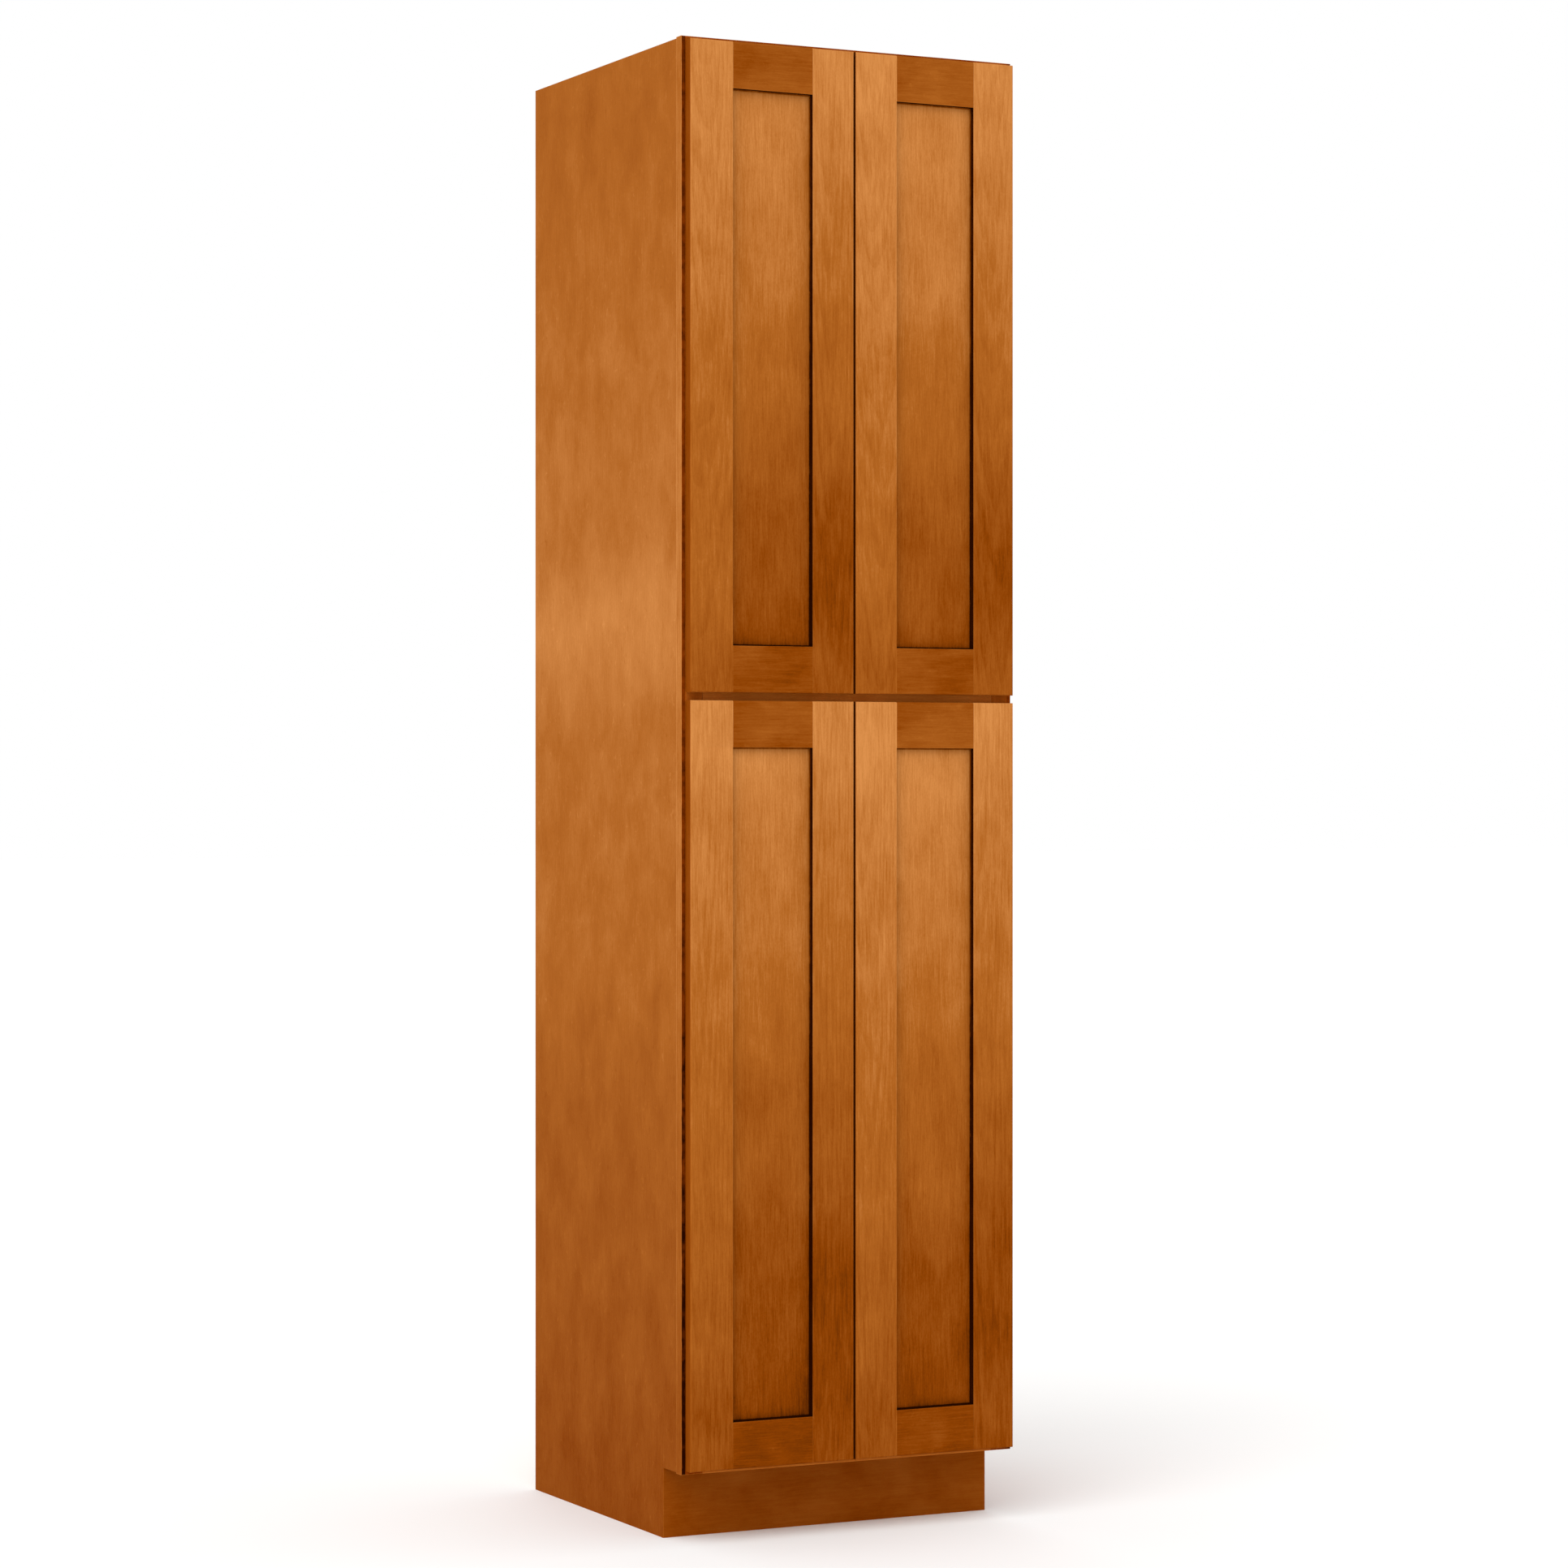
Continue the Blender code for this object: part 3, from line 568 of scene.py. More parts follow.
def edge_wear_group():
    """A board's lighter long edges, partly rubbed wear and partly a painted highlight:
    1 on an edge, 0 past the width, broken up by a noise.
    """
    wiring, given, result = new_group(
        "edge_wear",
        [("Vector", VECTOR, (0, 0, 0)), ("Centre", VECTOR, (0, 0, 0)), ("Half", VECTOR, (1, 1, 1)),
         ("Width", FLOAT, MM)],
        [("Wear", FLOAT)],
    )
    offset = wiring.vector("ABSOLUTE", wiring.vector("SUBTRACT", given["Vector"], given["Centre"]))
    inside = wiring.node("SeparateXYZ", {"Vector": wiring.vector("SUBTRACT", given["Half"], offset)}).outputs
    x, y, z = inside["X"], inside["Y"], inside["Z"]
    nearest_two = wiring.maths("MINIMUM", wiring.maths("MAXIMUM", x, y), z)
    second = wiring.maths("MAXIMUM", wiring.maths("MINIMUM", x, y), nearest_two)
    rough = wiring.noise(wiring.vector("MULTIPLY", given["Vector"], (90, 90, 90)), detail=3)
    reach = wiring.maths("MULTIPLY", given["Width"], wiring.maths("ADD", rough, 0.5))
    wear = wiring.maths("SUBTRACT", 1.0, wiring.maths("DIVIDE", second, reach), clamp=True)
    wiring.feed(result["Wear"], wiring.maths("MULTIPLY", wear, wiring.ease(rough, 0.25, 0.6, 0.7, 1.0)))
    return wiring.tree


def corner_shade_group():
    """Painted shade along the borders of a flat area: a soft shade, and a fine dark line in the corner."""
    wiring, given, result = new_group(
        "corner_shade",
        [("Vector", VECTOR, (0, 0, 0)), ("Centre", VECTOR, (0, 0, 0)), ("Half", VECTOR, (1, 1, 1)),
         ("Width", FLOAT, 5 * MM)],
        [("Shade", FLOAT), ("Line", FLOAT)],
    )
    offset = wiring.vector("SUBTRACT", given["Vector"], given["Centre"])
    far = wiring.node("SeparateXYZ", {"Vector": wiring.vector("SUBTRACT", given["Half"], offset)}).outputs
    near = wiring.node("SeparateXYZ", {"Vector": wiring.vector("ADD", given["Half"], offset)}).outputs
    shade = line = 0.0
    for distance, spread in ((far["X"], 1.6), (near["X"], 0.3), (far["Z"], 1.0), (near["Z"], 1.6)):
        reach = wiring.maths("DIVIDE", distance, wiring.maths("MULTIPLY", given["Width"], spread))
        part = wiring.maths("EXPONENT", wiring.maths("MULTIPLY", wiring.maths("MAXIMUM", reach, 0.0), -1.0))
        shade = wiring.maths("MAXIMUM", shade, part)
        line = wiring.maths("MAXIMUM", line, wiring.ease(distance, 1.2 * MM, 3.2 * MM, 1.0, 0.0))
    cloud = wiring.noise(wiring.vector("MULTIPLY", given["Vector"], (70, 70, 70)), detail=3)
    wiring.feed(result["Shade"], wiring.maths("MULTIPLY", shade, wiring.ease(cloud, 0.2, 0.8, 0.6, 1.2)))
    wiring.feed(result["Line"], wiring.maths("MULTIPLY", line, wiring.ease(cloud, 0.3, 0.5, 0.75, 1.0)))
    return wiring.tree


def ramp_group(name, stops):
    """A tone from 0 to 1 as a colour between the given stops."""
    wiring, given, result = new_group(name, [("Tone", FLOAT, 0.6)], [("Color", COLOUR)])
    ramp = wiring.node("ValToRGB", {"Fac": given["Tone"]})
    elements = ramp.color_ramp.elements
    while len(elements) < len(stops):
        elements.new(0.5)
    for element, (place, value) in zip(elements, stops):
        element.position = place
        element.color = (*value, 1)
    wiring.feed(result["Color"], ramp.outputs["Color"])
    return wiring.tree


def ply_layers_group():
    """The layers in a plywood edge. Through goes from 0 to 1 across the thickness."""
    wiring, given, result = new_group(
        "ply_layers", [("Vector", VECTOR, (0, 0, 0)), ("Through", FLOAT, 0.5)], [("Tone", FLOAT)]
    )
    wave = wiring.noise(wiring.vector("MULTIPLY", given["Vector"], (18, 18, 18)), detail=2)
    uneven = wiring.about(wave, 0.05)
    layer = wiring.maths("MULTIPLY", wiring.maths("ADD", given["Through"], uneven), 2.5)
    off_middle = wiring.maths("ABSOLUTE", wiring.maths("SUBTRACT", wiring.maths("FRACT", layer), 0.5))
    cross = wiring.ease(off_middle, 0.20, 0.30)
    pores = wiring.noise(wiring.vector("MULTIPLY", given["Vector"], (900, 900, 900)), detail=2)
    tone = wiring.maths("ADD", wiring.mix(cross, 0.75, 0.25), wiring.about(pores, 0.5))
    wiring.feed(result["Tone"], tone)
    return wiring.tree


def fine_scratch_group():
    """Fine rubbing marks and smudges on plated metal."""
    wiring, given, result = new_group(
        "fine_scratches", [("Vector", VECTOR, (0, 0, 0))], [("Scratch", FLOAT), ("Smudge", FLOAT)]
    )
    scratch = wiring.noise(wiring.vector("MULTIPLY", given["Vector"], (900, 900, 9000)), detail=2)
    smudge = wiring.noise(wiring.vector("MULTIPLY", given["Vector"], (160, 160, 160)), detail=3)
    wiring.feed(result["Scratch"], scratch)
    wiring.feed(result["Smudge"], smudge)
    return wiring.tree


def group(name, build):
    """A node group, built the first time it's asked for."""
    return bpy.data.node_groups.get(name) or build()


def place_group(wiring, tree, inputs):
    """Places a node group with its own values, and returns its outputs."""
    made = wiring.node("Group")
    made.node_tree = tree
    for name, value in inputs.items():
        wiring.feed(made.inputs[name], value)
    return made.outputs


def new_material(name):
    """A material, its wiring, its shader, and the place on the piece as its Object coordinates."""
    material = bpy.data.materials.new(name)
    material.use_nodes = True
    wiring = Wiring(material.node_tree)
    shader = material.node_tree.nodes["Principled BSDF"]
    place = wiring.node("TexCoord").outputs["Object"]
    return material, wiring, shader, place


def height_of(wiring, place):
    return wiring.node("SeparateXYZ", {"Vector": place}).outputs["Z"]


def along_grain(wiring, place, box, axis, pith, lean, board):
    """The place turned so that a board's grain, along X or Z, runs along Z, about a pith beside the board."""
    turns = {X: Euler((0, math.radians(90), 0)), Z: Euler((0, 0, 0))}
    tilt = math.radians(lean)
    turn = Euler((tilt, tilt * 0.6, 0)).to_matrix() @ turns[axis].to_matrix()
    centre = (Vector(box[0]) + Vector(box[1])) / 2
    shift = Vector((pith[0] * MM, pith[1] * MM, BOARD_STEP * board)) - turn @ centre
    made = wiring.node("Mapping", {"Vector": place, "Location": shift, "Rotation": turn.to_euler()})
    return made.outputs["Vector"]


def surface(wiring, shader, colour_socket, roughness, height, depth):
    """Feeds the shader its colour, its roughness and a fine relief of the given depth."""
    wiring.feed(shader.inputs["Base Color"], colour_socket)
    wiring.feed(shader.inputs["Roughness"], roughness)
    bump = wiring.node("Bump", {"Height": height, "Strength": 0.35, "Distance": depth})
    wiring.feed(shader.inputs["Normal"], bump.outputs["Normal"])


def stained_maple(
    name, box, axis, tones, span=None, figure=FIGURES["stile"], pith=(25, 70), lean=1.2, board=1,
    shade=None, wear=0.16, wear_and_highlight_box=None, painted_sheen=None, shade_tinted=False,
):
    """Stained maple for one board: its own stretch of grain, and the tones of its stain up the cabinet.

    Its tones up the cabinet are partly the stain and partly painted light and shade. shade is a box, a width
    and two depths: painted shade darkens the stain softly towards the box's borders by the first depth, and
    in a fine dark line along them by the second. The painted sheen is a height, a half width and a strength:
    a lighter band across the board. The box of the lighter edges, partly rubbed wear and partly a painted
    highlight, is given where they aren't the board's own. The shade tint darkens and reddens the colour as
    painted shade.
    """
    finish = settings("finish")
    material, wiring, shader, place = new_material(name)
    low, high = Vector(box[0]), Vector(box[1])
    foot, head = span or (low.z, high.z)
    fibre, streak, mottle, growth, curl = (value * finish.grain * 2 for value in figure)
    grain = place_group(wiring, group("maple_grain", maple_grain_group), {
        "Vector": along_grain(wiring, place, box, axis, pith, lean, board),
        "Fibre": fibre, "Streak": streak, "Mottle": mottle, "Growth": growth, "Curl": curl,
    })
    marks = dict(zip(("Foot", "Low", "Middle", "High", "Head"), tones))
    drift = place_group(wiring, group("stain_drift", stain_drift_group), {
        "Vector": place, "From": foot, "To": head, **marks,
    })
    tone = wiring.maths("ADD", drift["Tone"], grain["Tone"])
    # lighter edges: partly rubbed wear, partly a painted highlight on the eased edges
    edge_low, edge_high = wear_and_highlight_box or (low, high)
    lighter_edges = place_group(wiring, group("edge_wear", edge_wear_group), {
        "Vector": place, "Centre": (edge_low + edge_high) / 2, "Half": (edge_high - edge_low) / 2,
        "Width": 1.3 * MM,
    })
    tone = wiring.maths("ADD", tone, wiring.maths("MULTIPLY", lighter_edges["Wear"], wear))
    # painted shade: darker softly towards the box's borders, and in a fine dark line along them
    if shade:
        shade_low, shade_high, width, depth, line = shade
        painted_shade = place_group(wiring, group("corner_shade", corner_shade_group), {
            "Vector": place, "Centre": (shade_low + shade_high) / 2, "Half": (shade_high - shade_low) / 2,
            "Width": width,
        })
        tone = wiring.maths("SUBTRACT", tone, wiring.maths("MULTIPLY", painted_shade["Shade"], depth))
        tone = wiring.maths("SUBTRACT", tone, wiring.maths("MULTIPLY", painted_shade["Line"], line))
    # painted sheen: a lighter band across the board at a fixed height
    if painted_sheen:
        middle, reach, strength = painted_sheen
        away = wiring.maths("ABSOLUTE", wiring.maths("SUBTRACT", height_of(wiring, place), middle))
        tone = wiring.maths("ADD", tone, wiring.ease(away, 0.0, reach, strength, 0.0))
    stain = place_group(wiring, bpy.data.node_groups["maple_stain"], {"Tone": tone})["Color"]
    # painted shade tint: a darker, redder colour
    if shade_tinted:
        tint = {"Fac": 1.0, "Color1": stain, "Color2": (*finish.glaze, 1)}
        stain = wiring.node("MixRGB", tint, blend_type="MULTIPLY").outputs["Color"]
    roughness = wiring.maths("SUBTRACT", 0.42, wiring.maths("MULTIPLY", grain["Tone"], 0.25))
    surface(wiring, shader, stain, roughness, grain["Height"], 0.05 * MM)
    shader.inputs["Specular IOR Level"].default_value = 0.06
    shader.inputs["IOR"].default_value = 1.15
    return material


def dark_edge(name, box, axis, board, tone):
    """A narrow face painted darker than the front as shade, such as the wall of a door's recess."""
    return stained_maple(name, box, axis, (tone,) * 5, board=board, figure=FIGURES["edge"], wear=0.0)


def clear_maple(name, box, axis, board):
    """Clear-finished maple veneer for one board."""
    material, wiring, shader, place = new_material(name)
    grain = place_group(wiring, group("maple_grain", maple_grain_group), {
        "Vector": along_grain(wiring, place, box, axis, (90, 120), 1.0, board),
        "Fibre": 0.9, "Streak": 1.2, "Mottle": 0.5, "Growth": 1.6,
    })
    tone = wiring.maths("ADD", 0.62, grain["Tone"])
    wood = place_group(wiring, bpy.data.node_groups["maple_clear"], {"Tone": tone})
    roughness = wiring.maths("SUBTRACT", 0.46, wiring.maths("MULTIPLY", grain["Tone"], 0.2))
    surface(wiring, shader, wood["Color"], roughness, grain["Height"], 0.04 * MM)
    shader.inputs["Specular IOR Level"].default_value = 0.4
    return material


def ply_edge(name, box, axis):
    """The layered edge of a plywood board. axis runs through its thickness."""
    material, wiring, shader, place = new_material(name)
    low, high = box[0][axis], box[1][axis]
    at = wiring.node("SeparateXYZ", {"Vector": place}).outputs[axis]
    through = wiring.maths("DIVIDE", wiring.maths("SUBTRACT", at, low), high - low)
    layers = place_group(wiring, group("ply_layers", ply_layers_group), {"Vector": place, "Through": through})
    tone = layers["Tone"]
    wood = place_group(wiring, bpy.data.node_groups["maple_clear"], {"Tone": tone})
    surface(wiring, shader, wood["Color"], wiring.maths("ADD", 0.6, tone), tone, 0.1 * MM)
    return material


def plated_steel():
    """Nickel plate, a little smudged."""
    material, wiring, shader, place = new_material("plated_steel")
    marks = place_group(wiring, group("fine_scratches", fine_scratch_group), {"Vector": place})
    steel = Vector(settings("finish").steel)
    tint = wiring.between(marks["Smudge"], steel * 0.86, steel * 1.1)
    roughness = wiring.ease(marks["Smudge"], 0.3, 0.7, 0.22, 0.38)
    surface(wiring, shader, tint, roughness, marks["Scratch"], 0.01 * MM)
    shader.inputs["Metallic"].default_value = 1.0
    return material


def clear_bumper():
    """Soft clear plastic with a slightly dusty skin."""
    material, wiring, shader, place = new_material("clear_bumper")
    cloud = wiring.noise(wiring.vector("MULTIPLY", place, (400, 400, 400)), detail=3)
    plastic = Vector(settings("finish").bumper)
    tint = wiring.between(cloud, plastic * 0.9, plastic)
    surface(wiring, shader, tint, wiring.ease(cloud, 0.3, 0.7, 0.18, 0.35), cloud, 0.02 * MM)
    shader.inputs["Transmission Weight"].default_value = 0.6
    return material


# Pieces ----------------------------------------------------------------------


def door_nodes(tier, word):
    """The name of one door, and the names of its wooden parts."""
    door = f"{tier}_{word}_door"
    parts = ("hinge_stile", "meeting_stile", "bottom_rail", "top_rail", "panel")
    return door, {part: f"{door}_{part}" for part in parts}


def opening(parts):
    """The corners of the opening that a door's stiles and rails leave."""
    stiles = [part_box(parts[part]) for part in ("hinge_stile", "meeting_stile")]
    left, right = sorted(stiles, key=lambda box: box[0].x)
    low = Vector((left[1].x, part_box(parts["panel"])[0].y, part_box(parts["bottom_rail"])[1].z))
    high = Vector((right[0].x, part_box(parts["panel"])[1].y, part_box(parts["top_rail"])[0].z))
    return low, high


def door_outline():
    """The corners of the area that all four doors cover."""
    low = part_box("lower_left_door_hinge_stile")[0]
    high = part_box("upper_right_door_hinge_stile")[1]
    return low, high


def past_ends(box):
    """A rail's box, made so long that its covered ends don't count as lighter edges of wear and painted
    highlight.
    """
    reach = Vector((0.1, 0, 0))
    return box[0] - reach, box[1] + reach


def door_stain(tier, word, part):
    """The tones up one part of a door, partly the stain and partly painted light and shade."""
    lighter = RIGHT_DOOR_LIGHTER if word == "right" else 0.0
    return [tone + lighter for tone in DOOR_STAIN_AND_SHADE[tier][part]]


class PANTRY_OT_finishes(bpy.types.Operator):
    """Mix the finishes that several pieces share"""

    bl_idname = "pantry.finishes"
    bl_label = "Finishes"
    bl_options = {"REGISTER", "UNDO"}

    def execute(self, context):
        finish = settings("finish")
        ramp_group("maple_stain", [
            (0.0, finish.stain_deep), (0.33, finish.stain_dark), (0.66, finish.stain_middle),
            (1.0, finish.stain_light),
        ])
        ramp_group("maple_clear", [(0.15, finish.maple_dark), (0.95, finish.maple_light)])
        plated_steel()
        clear_bumper()
        return {"FINISHED"}


class PANTRY_OT_door_stiles(bpy.types.Operator):
    """Model the doors' stiles, grooved for their panels and bored for their hinges"""

    bl_idname = "pantry.door_stiles"
    bl_label = "Door Stiles"
    bl_options = {"REGISTER", "UNDO"}

    def execute(self, context):
        for number, (tier, word) in enumerate(DOORS):
            door, parts = door_nodes(tier, word)
            for part in ("hinge_stile", "meeting_stile"):
                left = (part == "hinge_stile") == (word == "left")
                stile = self.stile(parts[part], parts, left)
                self.grooved(stile, parts, left)
                if part == "hinge_stile":
                    self.bored(stile, door, TIERS[tier])
                tones = door_stain(tier, word, "left_stile" if left else "right_stile")
                self.stained(stile, parts[part], parts, tones, left, number * 2 + left)
                settle(stile, door, "stained_maple", parts[part])
        return {"FINISHED"}

    def stained(self, stile, node, parts, tones, left, board):
        low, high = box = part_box(node)
        paint(stile, stained_maple(
            node + "_maple", box, Z, tones, board=board,
            pith=(30 - 4 * board, 55 + 6 * board), lean=1.0 + 0.2 * board,
        ))
        inner, outer = (high.x, low.x) if left else (low.x, high.x)
        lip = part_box(parts["panel"])[0].y
        # painted shade on the wall of the recess
        paint(stile, dark_edge(node + "_recess", box, Z, board, RECESS_SHADED_TONE), lambda face: (
            face.center.y < lip and abs(face.normal.x) > 0.9 and abs(face.center.x - inner) < MM
        ))
        # painted shade on the door's outer edge, darkest on the meeting edge in the gap between the doors
        tone = OUTER_EDGE_SHADED_TONE if node.endswith("hinge_stile") else MEETING_EDGE_SHADED_TONE
        paint(stile, dark_edge(node + "_edge", box, Z, board, tone), lambda face: (
            abs(face.normal.x) > 0.8 and abs(face.center.x - outer) < MM
        ))

    def stile(self, node, parts, left):
        wood = settings("wood")
        low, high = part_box(node)
        inner, outer = (high.x, low.x) if left else (low.x, high.x)
        hole_low, hole_high = opening(parts)
        stile = block(node + "_board", low, high)
        slice_across(stile, Z, (hole_low.z, hole_high.z))
        rim = ((X, outer), (Z, low.z), (Z, high.z))
        round_border(stile, (Y, low.y), rim, wood.door_round, 6)
        round_border(stile, (Y, high.y), rim, wood.door_back_round, 3)
        round_edges(
            stile, [((Y, low.y), (X, inner)), ((Y, high.y), (X, inner))], wood.sticking_ease, 3,
            along=lambda middle: hole_low.z < middle.z < hole_high.z,
        )
        return stile

    def grooved(self, stile, parts, left):
        wood = settings("wood")
        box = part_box(stile.name.removesuffix("_board"))
        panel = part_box(parts["panel"])
        inner = box[1].x if left else box[0].x
        inward = 1 if left else -1
        ends = sorted((inner - inward * wood.groove_depth, inner + inward * PAST))
        tool = block("groove_tool", (ends[0], panel[0].y - FIT, box[0].z - PAST),
                     (ends[1], panel[1].y + FIT, box[1].z + PAST))
        shape_with(stile, tool)

    def bored(self, stile, door, hinges):
        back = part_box(stile.name.removesuffix("_board"))[1].y
        for number in range(1, hinges + 1):
            low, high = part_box(f"{door}_hinge_cup_{number}")
            middle = (low + high) / 2
            floor, out = (middle.x, low.y - FIT, middle.z), (middle.x, back + PAST, middle.z)
            radius = (high.x - low.x) / 2 - FLANGE_COVER
            shape_with(stile, rod("bore_tool", floor, out, radius, CUP_SIDES))


class PANTRY_OT_door_rails(bpy.types.Operator):
    """Model the doors' rails, with stub tenons into the stiles and a groove for the panel"""

    bl_idname = "pantry.door_rails"
    bl_label = "Door Rails"
    bl_options = {"REGISTER", "UNDO"}

    def execute(self, context):
        for number, (tier, word) in enumerate(DOORS):
            door, parts = door_nodes(tier, word)
            for part, upward in (("bottom_rail", 1), ("top_rail", -1)):
                rail = self.rail(parts[part], parts, upward)
                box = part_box(parts[part])
                tones = door_stain(tier, word, part)
                paint(rail, stained_maple(
                    parts[part] + "_maple", box, X, tones, board=20 + number * 2 + (upward > 0),
                    pith=(60 - 14 * number, 40 + 20 * number), lean=0.8, figure=FIGURES["rail"],
                    wear_and_highlight_box=past_ends(box),
                ))
                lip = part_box(parts["panel"])[0].y
                inner = box[1].z if upward > 0 else box[0].z
                # painted shade on the wall of the recess
                paint(rail, dark_edge(parts[part] + "_recess", box, X, number, RECESS_SHADED_TONE), lambda face: (
                    face.center.y < lip and abs(face.normal.z) > 0.9 and abs(face.center.z - inner) < MM
                ))
                settle(rail, door, "stained_maple", parts[part])
        return {"FINISHED"}

    def rail(self, node, parts, upward):
        wood = settings("wood")
        low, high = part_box(node)
        hole_low, hole_high = opening(parts)
        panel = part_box(parts["panel"])
        near, far = hole_low.x + wood.joint_gap, hole_high.x - wood.joint_gap
        rail = block(node + "_board", (near, low.y, low.z), (far, high.y, high.z))
        outer, inner = (low.z, high.z) if upward > 0 else (high.z, low.z)
        round_edges(rail, [((Y, low.y), (Z, outer))], wood.door_round, 6)
        round_edges(rail, [((Y, high.y), (Z, outer))], wood.door_back_round, 3)
        round_edges(rail, [((Y, low.y), (Z, inner)), ((Y, high.y), (Z, inner))], wood.sticking_ease, 3)
        round_border(rail, (Y, low.y), ((X, near), (X, far)), wood.joint_ease, 2)
        ends = sorted((inner - upward * wood.groove_depth, inner + upward * PAST))
        tool = block("groove_tool", (near - PAST, panel[0].y - FIT, ends[0]),
                     (far + PAST, panel[1].y + FIT, ends[1]))
        shape_with(rail, tool)
        slice_across(rail, Y, (panel[0].y + HAIR, panel[1].y - HAIR))
        tongue = near - low.x
        with edit(rail, "FACE"):
            pick("faces", lambda face: (
                abs(face.normal.x) > 0.9 and panel[0].y < halfway(face).y < panel[1].y
            ))
            bpy.ops.mesh.extrude_region_shrink_fatten(TRANSFORM_OT_shrink_fatten={"value": tongue})
        return rail


class PANTRY_OT_door_panels(bpy.types.Operator):
    """Model the doors' flat panels, with a relieved back edge that sits in the grooves"""

    bl_idname = "pantry.door_panels"
    bl_label = "Door Panels"
    bl_options = {"REGISTER", "UNDO"}

    def execute(self, context):
        relief, front_ease = 2.4 * MM, 0.5 * MM
        for number, (tier, word) in enumerate(DOORS):
            door, parts = door_nodes(tier, word)
            low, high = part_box(parts["panel"])
            panel = block(parts["panel"] + "_board", low, high)
            rim = rim_of(low, high)
            round_border(panel, (Y, high.y), rim, relief, 1)
            round_border(panel, (Y, low.y), rim, front_ease, 2)
            span = (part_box(parts["bottom_rail"])[0].z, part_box(parts["top_rail"])[1].z)
            hole_low, hole_high = opening(parts)
            hole_low.x = low.x - 50 * MM  # no painted shade along the left border
            # painted shade along the panel's right, top and bottom borders
            paint(panel, stained_maple(
                parts["panel"] + "_maple", (low, high), Z, door_stain(tier, word, "panel"), span,
                board=40 + number, figure=FIGURES["panel"], pith=(160, 200 + 30 * number), lean=0.6,
                shade=(hole_low, hole_high, 5 * MM, 0.16, 0.45), wear=0.0,
            ))
            settle(panel, door, "stained_maple", parts["panel"])
        return {"FINISHED"}


class PANTRY_OT_face_frame(bpy.types.Operator):
    """Model the face frame's stiles and rails"""

    bl_idname = "pantry.face_frame"
    bl_label = "Face Frame"
    bl_options = {"REGISTER", "UNDO"}

    def execute(self, context):
        ease = settings("wood").frame_ease
        stiles = [f"face_frame_{word}_stile" for word in SIDES]
        rails = [f"face_frame_{word}_rail" for word in ("top", "mid", "bottom")]
        doors_low, doors_high = door_outline()
        away = Vector((0, 0, 0.2))  # moves a border of the shade to where there's no wood
        lighter = [tone + FRAME_BODY_LIGHTER for tone in SIDE_STAIN_AND_SHADE]
        darker = [tone - FRAME_FRONT_DARKER for tone in SIDE_STAIN_AND_SHADE]
        for number, node in enumerate(stiles):
            low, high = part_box(node)
            stile = block(node + "_board", low, high)
            round_border(stile, (Y, low.y), rim_of(low, high), ease)
            # the rest of the stile, lighter than a side as a painted highlight along its outer side
            paint(stile, stained_maple(
                node + "_maple", (low, high), Z, lighter, board=50 + number, pith=(40, 80), wear=0.3,
            ))
            # the front: painted shade on its strips beside the doors, with the painted shade tint
            paint(stile, stained_maple(
                node + "_front", (low, high), Z, darker, board=50 + number, pith=(40, 80), wear=0.4,
                shade=(doors_low - away, doors_high + away, 3 * MM, 0.40, 0.0), shade_tinted=True,
            ), lambda face: face.normal.y < -0.8)
            settle(stile, CASE, "stained_maple", node)
        gap = settings("wood").joint_gap
        between = (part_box(stiles[0])[1].x + gap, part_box(stiles[1])[0].x - gap)
        for number, node in enumerate(rails):
            low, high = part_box(node)
            rail = block(node + "_board", (between[0], low.y, low.z), (between[1], high.y, high.z))
            round_border(rail, (Y, low.y), ((Z, low.z), (Z, high.z)), ease)
            # painted shade on the top rail's strip above the doors; every rail takes the painted shade tint
            paint(rail, stained_maple(
                node + "_maple", (low, high), X, (FRAME_RAIL_STAIN,) * 5, board=54 + number, shade_tinted=True,
                pith=(40, 60), figure=FIGURES["frame_rail"], wear_and_highlight_box=past_ends((low, high)),
                shade=(doors_low - away, doors_high, 2 * MM, 0.40, 0.0),
            ))
            settle(rail, CASE, "stained_maple", node)
        return {"FINISHED"}


def side_inner(side):
    """The inner face of a side panel, which the base rail fits between."""
    return side * (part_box("rear_base_rail")[1].x + FIT)


def pin_rows():
    """How far back the front and rear rows of shelf pins are."""
    low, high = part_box("lower_bay_low_shelf")
    inset = settings("hardware").pin_inset
    return (low.y + inset, high.y - inset)


def pin_heights(bay):
    """The height of the shelf pins under a bay's two shelves."""
    drop = settings("hardware").pin_radius + FIT
    return [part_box(f"{bay}_bay_{word}_shelf")[0].z - drop for word in ("low", "high")]


